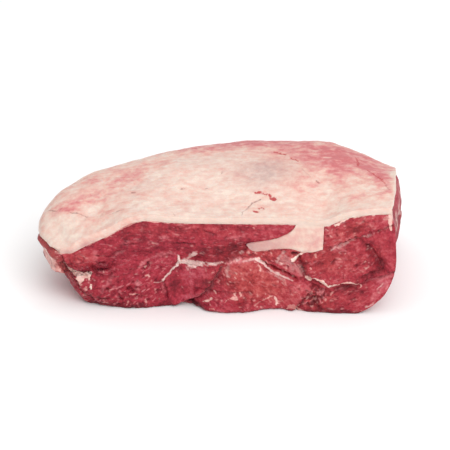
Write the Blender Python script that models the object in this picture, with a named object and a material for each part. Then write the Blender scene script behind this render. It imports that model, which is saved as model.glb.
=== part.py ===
"""Boneless lamb rump: a block of lean, cut square at the front and right, under a cap of fat.

The block lies on its cut base. X runs along it, Y runs from the cut front to the rounded back,
and Z is up. Sizes are in millimetres and are turned to metres when a mesh is made.
"""
import math

import bmesh
import bpy
import numpy as np

MILLIMETRE = 0.001

# Place of the block's own middle in the frame it is drawn in
MIDDLE_X = 0.5
MIDDLE_Y = 39.8

# Sizes of the block
CAP_THICKNESS = 2.5
CAP_THICKNESS_AT_LEFT = 4.0
CAP_THICKNESS_AT_RIM = 1.3
LEFT_THICKENING_ENDS_X = -35.0
RIM_THINNING = 0.16
RIM_DRAWN_BACK = 0.45
MEMBRANE_GAP = 0.3
CROWN_RISE = 2.1
ROOF_LEVELS = [(-70.0, 33.0), (-45.0, 34.4), (-20.0, 38.2), (15.0, 39.6), (45.0, 40.6), (70.0, 41.2)]
RIGHT_CORNER_FALL = 9.0
RIGHT_CORNER_X = (38.0, 72.0)
BACK_ROUNDNESS = 3.4
LEFT_ROUNDNESS = 2.6
LEFT_DOME_LENGTH = 46.0
BLOCK_LENGTH = 140.0
BLOCK_DEPTH = 80.0
BLOCK_HEIGHT = 40.0

# Cut edge of the lean under the fat, along the front, as (x, y, z)
TOP_FRONT = [
    (-61.3, 1.0, 24.2), (-56.5, 1.2, 24.4), (-52.5, 1.4, 26.6), (-43.0, 1.6, 31.4),
    (-33.5, 1.8, 36.8), (-29.5, 1.8, 37.7), (-18.0, 1.8, 36.9), (0.0, 1.6, 36.6),
    (26.0, 1.2, 36.6), (41.0, 0.9, 36.2), (47.5, 0.7, 39.2), (55.0, 0.5, 40.8), (64.5, 0.4, 41.4),
]
TOP_RIGHT = [
    (64.5, 0.4, 41.4), (66.4, 12.0, 41.8), (68.0, 30.0, 41.0), (69.0, 44.0, 38.0), (68.0, 57.0, 14.0),
]
TOP_BACK = [
    (-50.0, 51.0, 14.0), (-40.0, 59.5, 12.5), (-24.0, 70.0, 11.5), (4.0, 79.5, 11.0),
    (34.0, 79.0, 11.0), (53.0, 70.0, 12.0), (68.0, 57.0, 14.0),
]
TOP_LEFT = [
    (-61.3, 1.0, 24.2), (-63.4, 4.5, 24.4), (-65.8, 10.6, 24.9), (-68.4, 15.2, 25.2),
    (-69.0, 24.0, 22.8), (-64.6, 37.0, 18.5), (-50.0, 51.0, 14.0),
]

# Outline of the base, as (x, y, z)
BASE_FRONT = [
    (-50.0, 5.0, 0.0), (-36.0, 1.2, 0.0), (-25.0, 2.8, 0.0), (-12.0, 3.8, 0.0), (0.0, -2.4, 0.0),
    (10.0, -2.2, 0.0), (20.0, 1.0, 0.0), (30.0, -1.4, 0.0), (43.0, -2.8, 0.0), (53.0, -3.0, 0.0),
]
BASE_RIGHT = [(53.0, -3.0, 0.0), (55.5, 14.0, 0.0), (55.5, 36.0, 0.0), (50.0, 54.0, 0.0)]
BASE_BACK = [(-38.0, 46.0, 0.0), (-22.0, 60.0, 0.0), (6.0, 68.0, 0.0), (34.0, 65.0, 0.0), (50.0, 54.0, 0.0)]
BASE_LEFT = [(-50.0, 5.0, 0.0), (-53.5, 18.0, 0.0), (-49.0, 34.0, 0.0), (-38.0, 46.0, 0.0)]

# How far the back and the front swell past a straight line from base to cap
SWELL_BACK = 5.0
SWELL_FRONT = 0.8
SWELL_ROUNDNESS = 0.6
SWELL_REACH = 6
BACK_CORNER_FROM = 0.7

# The cut right end: how far it swells from front (0) to back (1), and the share of that from base to cap
RIGHT_SWELL = [(0.0, 9.0), (0.18, 6.0), (0.33, 7.6), (0.5, 9.4), (0.8, 6.4), (1.0, 2.5)]
RIGHT_PROFILE = [
    (0.0, 0.0), (0.12, 0.62), (0.25, 0.92), (0.38, 1.0), (0.52, 0.92), (0.68, 0.76), (0.84, 0.46), (1.0, 0.0),
]

# How far the left end stands out, from its base (0) to the rim of the cap (1): a foot, a hollow,
# a ragged fringe of inner fat and the tongue of lean just under the cap
LEFT_PROFILE = [
    (0.0, 0.0), (0.1, 2.8), (0.25, 3.2), (0.45, 1.8), (0.55, 2.0), (0.62, 7.0), (0.78, 4.6), (0.92, 3.2),
    (1.0, 0.0),
]
LEFT_SHARE = [(0.0, 0.5), (0.1, 1.0), (0.3, 1.0), (0.5, 0.5), (1.0, 0.4)]

# Muscle seams on the cut front as (x, z) points, then groove depth, groove width,
# the step down from the seam's left hand side to its right, and how far the step reaches
FRONT_SEAMS = [
    ([(-56.0, 17.5), (-47.0, 15.4), (-39.5, 15.1), (-28.0, 19.6), (-20.0, 23.3), (-15.0, 20.6),
      (-9.8, 19.4), (-2.1, 20.2), (4.0, 22.4), (8.0, 25.0)], 1.2, 2.0, -3.2, 7.0),
    ([(-1.0, 19.0), (-3.5, 14.2), (-6.5, 9.1), (-9.0, 5.5), (-13.0, 1.8), (-17.0, -1.0)],
     1.4, 2.2, -4.0, 6.5),
    ([(11.0, 24.4), (15.9, 22.0), (19.3, 18.8), (25.8, 15.8), (30.0, 12.4)], 3.2, 2.2, 1.4, 5.0),
    ([(30.0, 24.0), (29.4, 20.0), (32.4, 15.0), (37.4, 12.7), (43.4, 11.9), (54.6, 13.6), (60.3, 15.8),
      (69.0, 19.0)], 1.4, 2.0, 1.6, 5.0),
    ([(40.0, 27.6), (47.4, 29.6), (56.3, 33.7), (66.0, 36.6)], 1.1, 1.9, -1.4, 5.0),
    ([(54.6, 30.5), (58.9, 25.4), (61.6, 20.6), (58.0, 16.8)], 1.1, 1.9, -1.8, 4.5),
    ([(38.0, 11.6), (33.2, 7.2), (29.6, 2.7), (29.4, -2.0)], 1.2, 1.9, -1.2, 4.0),
    ([(-22.3, 9.4), (-20.7, 6.5), (-20.9, -1.5)], 1.0, 1.8, 0.8, 4.0),
]

# The same for the cut right hand end, as (y, z) points
RIGHT_SEAMS = [
    ([(-4.0, 35.5), (12.0, 31.5), (30.0, 29.0), (48.0, 24.0), (62.0, 20.0)], 1.2, 1.8, -0.8, 7.0),
    ([(-4.0, 18.0), (14.0, 16.0), (30.0, 10.0), (40.0, 1.0)], 1.2, 1.8, 0.8, 7.0),
    ([(30.0, 10.0), (44.0, 15.0), (54.0, 24.0)], 1.2, 1.5, -1.2, 6.0),
]

# Wedge of seam fat that hangs from the cap into the front, as (x, z), and how far back it runs
WEDGE_OUTLINE = [
    (29.4, 38.0), (26.0, 33.2), (22.4, 31.4), (15.4, 29.6), (9.9, 28.6), (12.5, 26.1),
    (20.3, 26.3), (26.5, 26.6), (30.5, 25.7), (35.0, 25.6), (39.0, 26.7), (39.4, 38.0),
]
WEDGE_DEPTH = 16.0
WEDGE_TAPER = 0.45
WEDGE_PROUD = 0.3
POCKET_OPENING = 6.0

# Cells of the surface grid along, across and up
CELLS_ALONG = 64
CELLS_ACROSS = 15
CELLS_UP = 18

LEAN_COLOUR = (0.42, 0.06, 0.08, 1.0)
FAT_COLOUR = (0.86, 0.66, 0.58, 1.0)


def smooth_curve(points, fractions):
    """Points at fractions of the way along a smooth curve through the given points."""
    knots_at = np.asarray(points, float)
    chords = np.linalg.norm(np.diff(knots_at, axis=0), axis=1)
    knots = np.concatenate([[0.0], np.cumsum(chords)]) / chords.sum()
    slopes = np.gradient(knots_at, knots, axis=0)
    fractions = np.clip(np.asarray(fractions, float), 0.0, 1.0)
    left = np.clip(np.searchsorted(knots, fractions, side="right") - 1, 0, len(knots) - 2)
    width = (knots[left + 1] - knots[left])[..., None]
    t = ((fractions - knots[left]) / width[..., 0])[..., None]
    start, end = knots_at[left], knots_at[left + 1]
    start_slope, end_slope = slopes[left] * width, slopes[left + 1] * width
    return (
        start * (2 * t**3 - 3 * t**2 + 1) + start_slope * (t**3 - 2 * t**2 + t)
        + end * (3 * t**2 - 2 * t**3) + end_slope * (t**3 - t**2)
    )


def profile(pairs, value):
    """Height of a smooth curve through (place, height) pairs."""
    places, heights = smooth_curve(pairs, np.linspace(0, 1, 200)).T
    return np.interp(value, places, heights)


def patch(front, right, back, left, along, across):
    """Surface spread between four border curves that share their corners."""
    f, b = smooth_curve(front, along), smooth_curve(back, along)
    l, r = smooth_curve(left, across), smooth_curve(right, across)
    u, v = along[..., None], across[..., None]
    corners = (
        (1 - u) * (1 - v) * np.asarray(front[0]) + u * (1 - v) * np.asarray(front[-1])
        + (1 - u) * v * np.asarray(back[0]) + u * v * np.asarray(back[-1])
    )
    return (1 - v) * f + v * b + (1 - u) * l + u * r - corners


def quarter_round(roundness, run, drop, lead, fraction):
    """Travel and height of a level stretch that ends in a rounded shoulder.

    fraction goes evenly along the profile. Both results go from 0 to 1: the travel over the
    whole run, and the height that is left, which is 1 on the level stretch.
    """
    angle = np.linspace(0.0, math.pi / 2, 400)
    travel = np.sin(angle) ** (2 / roundness) * (run - lead) + lead
    height = np.cos(angle) ** (2 / roundness)
    travel = np.concatenate([[0.0], travel]) if lead > 0 else travel
    height = np.concatenate([[1.0], height]) if lead > 0 else height
    steps = np.hypot(np.diff(travel), np.diff(height) * drop)
    length = np.concatenate([[0.0], np.cumsum(steps)])
    length /= length[-1]
    return np.interp(fraction, length, travel / run), np.interp(fraction, length, height)


def smoothstep(low, high, value):
    """0 below low, 1 above high, and an even ease between them."""
    t = np.clip((value - low) / (high - low), 0.0, 1.0)
    return t * t * (3 - 2 * t)


def lean_top(along, across):
    """Top of the lean: the measured front edge, rising to a dome that rounds down behind and at the left."""
    from_right, left_height = quarter_round(
        LEFT_ROUNDNESS, BLOCK_LENGTH, BLOCK_HEIGHT / 2, BLOCK_LENGTH - LEFT_DOME_LENGTH, 1 - along)
    to_back, back_height = quarter_round(BACK_ROUNDNESS, BLOCK_DEPTH, BLOCK_HEIGHT * 0.75, 0.0, across)
    plan = patch(TOP_FRONT, TOP_RIGHT, TOP_BACK, TOP_LEFT, 1 - from_right, to_back)
    front_edge = smooth_curve(TOP_FRONT, 1 - from_right)[..., 2]
    rim = smooth_curve(TOP_LEFT, to_back)[..., 2] * (1 - to_back**2)
    rim = rim + smooth_curve(TOP_BACK, 1 - from_right)[..., 2] * to_back**2
    level = np.interp(plan[..., 0], *np.transpose(ROOF_LEVELS))
    roof = level + CROWN_RISE * np.sin(np.clip(to_back, 0, 1) * math.pi)
    roof -= RIGHT_CORNER_FALL * smoothstep(*RIGHT_CORNER_X, plan[..., 0]) * to_back**2
    dome = rim + (roof - rim) * left_height * back_height
    inward = smoothstep(0.0, 0.45, to_back)
    height = front_edge * back_height * (1 - inward) + rim * (1 - back_height) * (1 - inward) + dome * inward
    return np.stack([plan[..., 0], plan[..., 1], height], -1)


def cap_offset(top, along, across, thickness):
    """Move the top of the lean outwards, keeping the cut front and right faces flat."""
    d_along = np.gradient(top, axis=0)
    d_across = np.gradient(top, axis=1)
    normal = np.cross(d_along, d_across)
    keep_front = smoothstep(0.0, 0.12, across)
    keep_right = smoothstep(0.0, 0.06, 1 - along)
    normal[..., 1] *= keep_front
    normal[..., 0] *= keep_right
    normal /= np.linalg.norm(normal, axis=-1, keepdims=True)
    return top + normal * thickness[..., None]


def cap_outer(top, along, across):
    """The cap's outer skin: it is thicker at the left, and thins out to its rim there and at the back."""
    blend = smoothstep(LEFT_THICKENING_ENDS_X - 24.0, LEFT_THICKENING_ENDS_X, top[..., 0])
    thickness = CAP_THICKNESS_AT_LEFT + (CAP_THICKNESS - CAP_THICKNESS_AT_LEFT) * blend
    from_rim = smoothstep(0.0, RIM_THINNING, np.minimum(along, 1 - across))
    thickness = CAP_THICKNESS_AT_RIM + (thickness - CAP_THICKNESS_AT_RIM) * from_rim
    return cap_offset(top, along, across, MEMBRANE_GAP + thickness)


def distance_to_seam(u, v, points):
    """Distance to a seam, positive on its right hand side when walked from its first point."""
    line = smooth_curve(points, np.linspace(0, 1, 48))
    start, step = line[:-1], np.diff(line, axis=0)
    from_start = np.stack([u, v], -1)[..., None, :] - start
    along = np.clip((from_start * step).sum(-1) / (step * step).sum(-1), 0, 1)
    offset = from_start - along[..., None] * step
    gap = np.linalg.norm(offset, axis=-1)
    nearest = gap.argmin(-1)[..., None]
    on_left = from_start[..., 1] * step[..., 0] - from_start[..., 0] * step[..., 1]
    on_left = np.sign(np.take_along_axis(on_left, nearest, -1)[..., 0])
    return -on_left * np.take_along_axis(gap, nearest, -1)[..., 0]


def seam_relief(u, v, seams):
    """How far the cut surface stands out round its seams: a groove at each, and a step across it."""
    relief = np.zeros_like(u)
    for points, depth, width, step, reach in seams:
        d = distance_to_seam(u, v, points)
        relief -= depth * np.exp(-((d / width) ** 2))
        relief -= step / 2 * np.tanh(d / width) * np.exp(-((d / reach) ** 2))
    return relief


def lean_surface(along, across, up):
    """Points of the lean for a cube's grid, each coordinate of which runs from 0 to 1."""
    top = lean_top(along, across)
    base = patch(BASE_FRONT, BASE_RIGHT, BASE_BACK, BASE_LEFT, along, across)
    up_3 = up[..., None]
    points = base * (1 - up_3) + top * up_3
    swell = (4 * up * (1 - up)) ** SWELL_ROUNDNESS
    at_right, at_left = along**SWELL_REACH, (1 - along) ** SWELL_REACH
    at_back, at_front = across**SWELL_REACH, (1 - across) ** SWELL_REACH
    points[..., 0] += profile(RIGHT_SWELL, across) * profile(RIGHT_PROFILE, up) * at_right
    points[..., 0] -= profile(LEFT_SHARE, across) * profile(LEFT_PROFILE, up) * at_left
    corner_fade = 1 - smoothstep(BACK_CORNER_FROM, 1.0, along) * smoothstep(BACK_CORNER_FROM, 1.0, across)
    points[..., 1] += swell * (SWELL_BACK * at_back * corner_fade - SWELL_FRONT * at_front)
    x, y, z = points[..., 0].copy(), points[..., 1].copy(), points[..., 2].copy()
    below_cap = 1 - smoothstep(0.9, 1.0, up)
    points[..., 1] -= seam_relief(x, z, FRONT_SEAMS) * at_front * below_cap * (across < 0.3)
    points[..., 0] += seam_relief(y, z, RIGHT_SEAMS) * at_right * below_cap * (along > 0.9) * corner_fade
    points[..., 2] = np.maximum(points[..., 2], 0.0)
    return points


def grid_solid(name, cells, shape):
    """A closed solid: a cube's grid of cells, moved to its place by a shape function and triangulated.

    Cells of the top and the base all split the same way, so that skins that lie on each other stay
    parallel. The others split along their shorter diagonal, which follows the seams.
    """
    bm = bmesh.new()
    bmesh.ops.create_cube(bm, size=1.0)
    bmesh.ops.translate(bm, verts=bm.verts, vec=(0.5, 0.5, 0.5))
    for axis, count in enumerate(cells):
        rungs = [e for e in bm.edges if abs((e.verts[0].co - e.verts[1].co)[axis]) > 1e-6]
        if count > 1:
            bmesh.ops.subdivide_edges(bm, edges=rungs, cuts=count - 1, use_grid_fill=True)
    unit = np.clip(np.array([vert.co for vert in bm.verts], float), 0.0, 1.0)
    level_cells = []
    side_cells = []
    for face in bm.faces:
        corners = sorted(face.verts, key=lambda vert: sum(vert.co))
        level = abs(face.normal.z) > 0.5
        (level_cells if level else side_cells).append((face, corners[0], corners[-1]))
    for vert, point in zip(bm.verts, to_metres(shape(unit))):
        vert.co = point
    for face, low, high in level_cells:
        bmesh.utils.face_split(face, low, high)
    for face, low, high in side_cells:
        others = [vert for vert in face.verts if vert not in (low, high)]
        if (others[0].co - others[1].co).length < (low.co - high.co).length:
            low, high = others
        bmesh.utils.face_split(face, low, high)
    mesh = bpy.data.meshes.new(name)
    bm.to_mesh(mesh)
    bm.free()
    solid = bpy.data.objects.new(name, mesh)
    bpy.context.collection.objects.link(solid)
    return solid


def finish_material(name, colour, roughness):
    """A Principled material of one colour."""
    material = bpy.data.materials.new(name)
    material.use_nodes = True
    shader = material.node_tree.nodes["Principled BSDF"]
    shader.inputs["Base Color"].default_value = colour
    shader.inputs["Roughness"].default_value = roughness
    shader.inputs["Metallic"].default_value = 0.0
    return material


def to_metres(points):
    """Shift drawn millimetres to the part's own middle and turn them to metres."""
    return (points - np.array([MIDDLE_X, MIDDLE_Y, 0.0])) * MILLIMETRE


def cap_skins():
    """Inner and outer skin of the cap over the grid of the lean's top, drawn back a little at the rim."""
    along, across = np.meshgrid(
        np.linspace(0, 1, CELLS_ALONG + 1), np.linspace(0, 1, CELLS_ACROSS + 1), indexing="ij")
    top = lean_top(along, across)
    inner = cap_offset(top, along, across, np.full_like(along, MEMBRANE_GAP))
    outer = cap_outer(top, along, across)
    for skin in (inner, outer):
        skin[0] += (skin[1] - skin[0]) * RIM_DRAWN_BACK
        skin[:, -1] += (skin[:, -2] - skin[:, -1]) * RIM_DRAWN_BACK
    return inner, outer


def make_lean():
    """The lean: all the muscle as one solid."""
    def shape(unit):
        return lean_surface(unit[:, 0], unit[:, 1], unit[:, 2])

    lean = grid_solid("lean", (CELLS_ALONG, CELLS_ACROSS, CELLS_UP), shape)
    lean.data.materials.append(finish_material("lean meat", LEAN_COLOUR, 0.38))
    return lean


def make_cap():
    """The fat cap: two skins over the top of the lean, joined round their border."""
    inner, outer = cap_skins()

    def shape(unit):
        i = np.rint(unit[:, 0] * CELLS_ALONG).astype(int)
        j = np.rint(unit[:, 1] * CELLS_ACROSS).astype(int)
        return np.where(unit[:, 2:3] > 0.5, outer[i, j], inner[i, j])

    cap = grid_solid("fat_cap", (CELLS_ALONG, CELLS_ACROSS, 1), shape)
    cap.data.materials.append(finish_material("lamb fat", FAT_COLOUR, 0.5))
    return cap


def widen_outline(points, distance):
    """Move the points of a closed outline outwards."""
    ring = np.asarray(points, float)
    tangent = np.roll(ring, -1, axis=0) - np.roll(ring, 1, axis=0)
    normal = np.stack([tangent[:, 1], -tangent[:, 0]], -1)
    normal /= np.linalg.norm(normal, axis=1, keepdims=True)
    middle = ring.mean(axis=0)
    turn = np.sign(((ring - middle) * normal).sum(axis=1).sum())
    return ring + normal * distance * turn


def front_face_y(x, z):
    """Depth of the cut front at a point of it, without its seams."""
    top = np.interp(x, *np.asarray(TOP_FRONT).T[:2])
    low = np.interp(x, *np.asarray(BASE_FRONT).T[:2])
    up = np.clip(z / np.interp(x, *np.asarray(TOP_FRONT).T[[0, 2]]), 0, 1)
    return low * (1 - up) + top * up - SWELL_FRONT * (4 * up * (1 - up)) ** SWELL_ROUNDNESS


def make_wedge(name, grow, front_extra, back_extra):
    """The wedge of seam fat: its outline on the cut front, running back and tapering up to the cap."""
    outline = widen_outline(WEDGE_OUTLINE, grow)
    root = np.array([(WEDGE_OUTLINE[0][0] + WEDGE_OUTLINE[-1][0]) / 2, WEDGE_OUTLINE[0][1]])
    front_y = front_face_y(outline[:, 0], outline[:, 1])
    front_y -= np.maximum(seam_relief(outline[:, 0], outline[:, 1], FRONT_SEAMS), 0.0) + WEDGE_PROUD
    reach = WEDGE_DEPTH - front_y
    bm = bmesh.new()
    rings = []
    for run in (np.full_like(reach, -front_extra), reach + back_extra):
        spread = 1 - (1 - WEDGE_TAPER) * run / reach
        ring = root + (outline - root) * spread[:, None]
        points = to_metres(np.stack([ring[:, 0], front_y + run, ring[:, 1]], -1))
        rings.append([bm.verts.new(point) for point in points])
    bm.faces.new(rings[0])
    bm.faces.new(rings[1])
    count = len(outline)
    for i in range(count):
        j = (i + 1) % count
        bm.faces.new((rings[0][i], rings[0][j], rings[1][j], rings[1][i]))
    bmesh.ops.triangulate(bm, faces=bm.faces[:])
    bmesh.ops.recalc_face_normals(bm, faces=bm.faces[:])
    mesh = bpy.data.meshes.new(name)
    bm.to_mesh(mesh)
    bm.free()
    wedge = bpy.data.objects.new(name, mesh)
    bpy.context.collection.objects.link(wedge)
    wedge.hide_render = True
    wedge.display_type = "WIRE"
    return wedge


def boolean(target, tool, operation):
    """Join or cut with an exact Boolean that stays on the object."""
    modifier = target.modifiers.new(f"{operation.lower()} {tool.name}", "BOOLEAN")
    modifier.operation = operation
    modifier.solver = "EXACT"
    modifier.object = tool


def main():
    """Build the rump."""
    for old in list(bpy.data.objects):
        bpy.data.objects.remove(old, do_unlink=True)
    lean = make_lean()
    cap = make_cap()
    wedge = make_wedge("wedge_of_fat", 0.0, 0.0, 0.0)
    pocket = make_wedge("wedge_pocket", MEMBRANE_GAP, POCKET_OPENING, MEMBRANE_GAP)
    boolean(cap, wedge, "UNION")
    boolean(lean, pocket, "DIFFERENCE")
    for piece in (lean, cap):
        piece.data.shade_smooth()


main()
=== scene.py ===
"""A boneless lamb rump, raw: a block of lean cut square at the front and right, under a cap of fat.

The two solids of the frame are stood for by finer pieces of the same form: the lean, with its muscles,
seams, silverskin and grain, and the cap, with its wedge of seam fat, its creases and its small vessels.
Sizes are in millimetres as drawn: X runs along the block, Y from the cut front to the rounded back and
Z is up. They are turned to metres when a mesh is made.
"""
import itertools
import logging
import math
from dataclasses import dataclass, field, replace
from enum import Enum
from typing import Callable

import bpy
import numpy as np
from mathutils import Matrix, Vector


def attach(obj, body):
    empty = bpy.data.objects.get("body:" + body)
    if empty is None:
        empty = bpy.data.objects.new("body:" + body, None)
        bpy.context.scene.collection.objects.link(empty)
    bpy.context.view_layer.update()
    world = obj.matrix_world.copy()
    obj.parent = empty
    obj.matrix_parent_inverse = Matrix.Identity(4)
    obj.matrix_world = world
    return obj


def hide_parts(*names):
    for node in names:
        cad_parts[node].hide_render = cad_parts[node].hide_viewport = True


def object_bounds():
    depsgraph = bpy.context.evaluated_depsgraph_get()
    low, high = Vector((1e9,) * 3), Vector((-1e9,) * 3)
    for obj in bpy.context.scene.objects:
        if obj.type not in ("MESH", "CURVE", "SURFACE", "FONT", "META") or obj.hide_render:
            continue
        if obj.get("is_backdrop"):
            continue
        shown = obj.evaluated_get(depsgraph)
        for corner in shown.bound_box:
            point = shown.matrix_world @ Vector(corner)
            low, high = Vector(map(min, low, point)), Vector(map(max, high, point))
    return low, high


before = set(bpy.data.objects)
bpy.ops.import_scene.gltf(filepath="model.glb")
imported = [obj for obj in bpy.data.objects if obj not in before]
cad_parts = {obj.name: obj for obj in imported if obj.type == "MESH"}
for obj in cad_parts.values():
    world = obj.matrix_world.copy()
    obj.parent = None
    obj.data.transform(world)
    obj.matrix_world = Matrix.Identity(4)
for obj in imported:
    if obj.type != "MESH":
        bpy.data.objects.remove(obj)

LOG = logging.getLogger("lamb_rump")
MILLIMETRE = 0.001
FAR = 12.0

Array = np.ndarray
Points = tuple[tuple[float, ...], ...]


# Numbers and lines

def smoothstep(low: float, high: float, value: Array) -> Array:
    """Ease evenly from 0 at low to 1 at high.

    Args:
        low: value at which the ease starts.
        high: value at which it ends.
        value: the numbers to ease.

    Returns:
        Numbers from 0 to 1.
    """
    t = np.clip((value - low) / (high - low), 0.0, 1.0)
    return t * t * (3 - 2 * t)


def smooth_curve(points: Points, fractions: Array) -> Array:
    """Follow a smooth curve through points.

    Args:
        points: the points that the curve goes through.
        fractions: how far along it each result lies, from 0 to 1.

    Returns:
        The points at those fractions.
    """
    knots_at = np.asarray(points, float)
    chords = np.linalg.norm(np.diff(knots_at, axis=0), axis=1)
    knots = np.concatenate([[0.0], np.cumsum(chords)]) / chords.sum()
    slopes = np.gradient(knots_at, knots, axis=0)
    fractions = np.clip(np.asarray(fractions, float), 0.0, 1.0)
    left = np.clip(np.searchsorted(knots, fractions, side="right") - 1, 0, len(knots) - 2)
    width = (knots[left + 1] - knots[left])[..., None]
    t = ((fractions - knots[left]) / width[..., 0])[..., None]
    start, end = knots_at[left], knots_at[left + 1]
    start_slope, end_slope = slopes[left] * width, slopes[left + 1] * width
    return (
        start * (2 * t**3 - 3 * t**2 + 1) + start_slope * (t**3 - 2 * t**2 + t)
        + end * (3 * t**2 - 2 * t**3) + end_slope * (t**3 - t**2)
    )


def profile(pairs: Points, value: Array) -> Array:
    """Read a smooth curve through (place, height) pairs.

    Args:
        pairs: the places and heights.
        value: the places to read it at.

    Returns:
        The heights there.
    """
    places, heights = smooth_curve(pairs, np.linspace(0, 1, 200)).T
    return np.interp(value, places, heights)


def patch(front: Points, right: Points, back: Points, left: Points, along: Array, across: Array) -> Array:
    """Spread a surface between four border curves that share their corners.

    Args:
        front: border where across is 0.
        right: border where along is 1.
        back: border where across is 1.
        left: border where along is 0.
        along: first place on the surface, 0 to 1.
        across: second place on the surface, 0 to 1.

    Returns:
        Points of the surface.
    """
    on_front, on_back = smooth_curve(front, along), smooth_curve(back, along)
    on_left, on_right = smooth_curve(left, across), smooth_curve(right, across)
    u, v = along[..., None], across[..., None]
    corners = (
        (1 - u) * (1 - v) * np.asarray(front[0]) + u * (1 - v) * np.asarray(front[-1])
        + (1 - u) * v * np.asarray(back[0]) + u * v * np.asarray(back[-1])
    )
    return (1 - v) * on_front + v * on_back + (1 - u) * on_left + u * on_right - corners


def quarter_round(
        roundness: float, run: float, drop: float, lead: float, fraction: Array) -> tuple[Array, Array]:
    """Follow a level stretch that ends in a rounded shoulder.

    Args:
        roundness: power of the shoulder's curve, 2 for a quarter of an ellipse.
        run: length of the level stretch and the shoulder.
        drop: height of the shoulder.
        lead: length of the level stretch alone.
        fraction: how far along the profile each result lies, 0 to 1.

    Returns:
        Share of the run travelled, and share of the height left.
    """
    angle = np.linspace(0.0, math.pi / 2, 400)
    travel = np.sin(angle) ** (2 / roundness) * (run - lead) + lead
    height = np.cos(angle) ** (2 / roundness)
    if lead > 0:
        travel = np.concatenate([[0.0], travel])
        height = np.concatenate([[1.0], height])
    steps = np.hypot(np.diff(travel), np.diff(height) * drop)
    length = np.concatenate([[0.0], np.cumsum(steps)])
    length /= length[-1]
    return np.interp(fraction, length, travel / run), np.interp(fraction, length, height)


def value_noise(points: Array, size: float, seed: int, octaves: int = 1) -> Array:
    """Smooth random values in space, alike at every run.

    Args:
        points: places in millimetres, three numbers each.
        size: size of the largest lumps in millimetres.
        seed: which of many such patterns it is.
        octaves: how many finer patterns are added, each half the size.

    Returns:
        Values of about -1 to 1.
    """
    table = np.random.default_rng(seed).random(4096) * 2 - 1
    spin = np.array([[0.80, 0.48, -0.36], [-0.60, 0.64, -0.48], [0.0, 0.60, 0.80]])
    total = np.zeros(len(points))
    weight, weights = 1.0, 0.0
    cell = np.asarray(points, float) / size
    for _ in range(octaves):
        cell = cell @ spin + 17.3
        low = np.floor(cell).astype(np.int64)
        t = cell - low
        t = t * t * t * (t * (t * 6 - 15) + 10)
        for corner in itertools.product((0, 1), repeat=3):
            place = low + np.array(corner)
            key = (place[:, 0] * 73856093) ^ (place[:, 1] * 19349663) ^ (place[:, 2] * 83492791)
            share = np.prod(np.where(np.array(corner) == 1, t, 1 - t), axis=1)
            total += weight * share * table[key & 4095]
        weights += weight
        weight *= 0.5
        cell = cell * 2.03
    return total / weights * 1.6


@dataclass(frozen=True)
class Line:
    """A smooth line on a flat view of a face, open or closed.

    Attributes:
        points: the points that it goes through, in millimetres.
        closed: whether it runs back to its first point and holds an area.
        sharp: whether it has straight sides between its points.
    """

    points: Points
    closed: bool = False
    sharp: bool = False

    def path(self) -> Array:
        """Points along the line, about a millimetre apart or closer."""
        points = self.points + (self.points[0],) if self.closed else self.points
        if self.sharp:
            return np.asarray(points, float)
        return smooth_curve(points, np.linspace(0, 1, 6 * len(points)))

    def nearest(self, u: Array, v: Array) -> tuple[Array, Array]:
        """How far places are from the line, and beside which part of it they lie.

        Args:
            u: first coordinate of each place.
            v: second coordinate of each place.

        Returns:
            The distance, FAR where a place is well away: for an open line it is positive on the right
            hand side of one who walks from its first point, for a closed one it is negative inside.
            Then the share of the line that lies before the nearest point of it, 0 to 1.
        """
        path = self.path()
        low, high = path.min(axis=0) - FAR, path.max(axis=0) + FAR
        near = np.flatnonzero((u > low[0]) & (u < high[0]) & (v > low[1]) & (v < high[1]))
        result, along = np.full(len(u), FAR), np.zeros(len(u))
        if not len(near):
            return result, along
        start, step = path[:-1], np.diff(path, axis=0)
        from_start = np.stack([u[near], v[near]], -1)[:, None, :] - start
        share = np.clip((from_start * step).sum(-1) / np.maximum((step * step).sum(-1), 1e-12), 0, 1)
        gap = np.linalg.norm(from_start - share[..., None] * step, axis=-1)
        nearest = gap.argmin(-1)[:, None]
        along[near] = (nearest[:, 0] + np.take_along_axis(share, nearest, -1)[:, 0]) / len(step)
        gap = np.minimum(np.take_along_axis(gap, nearest, -1)[:, 0], FAR)
        if self.closed:
            rises = (start[:, 1] > v[near][:, None]) != (path[1:, 1] > v[near][:, None])
            slope = np.divide(step[:, 0], step[:, 1], out=np.zeros(len(step)), where=step[:, 1] != 0)
            crossing = start[:, 0] + (v[near][:, None] - start[:, 1]) * slope
            inside = (rises & (u[near][:, None] < crossing)).sum(axis=1) % 2 == 1
            result[near] = np.where(inside, -gap, gap)
        else:
            side = from_start[..., 1] * step[:, 0] - from_start[..., 0] * step[:, 1]
            side = np.where(np.take_along_axis(side, nearest, -1)[:, 0] > 0, -1.0, 1.0)
            result[near] = side * gap
        return result, along

    def distance(self, u: Array, v: Array) -> Array:
        """How far places are from the line, as nearest has it."""
        return self.nearest(u, v)[0]


# Form of the block, as the frame's solids have it

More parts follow.
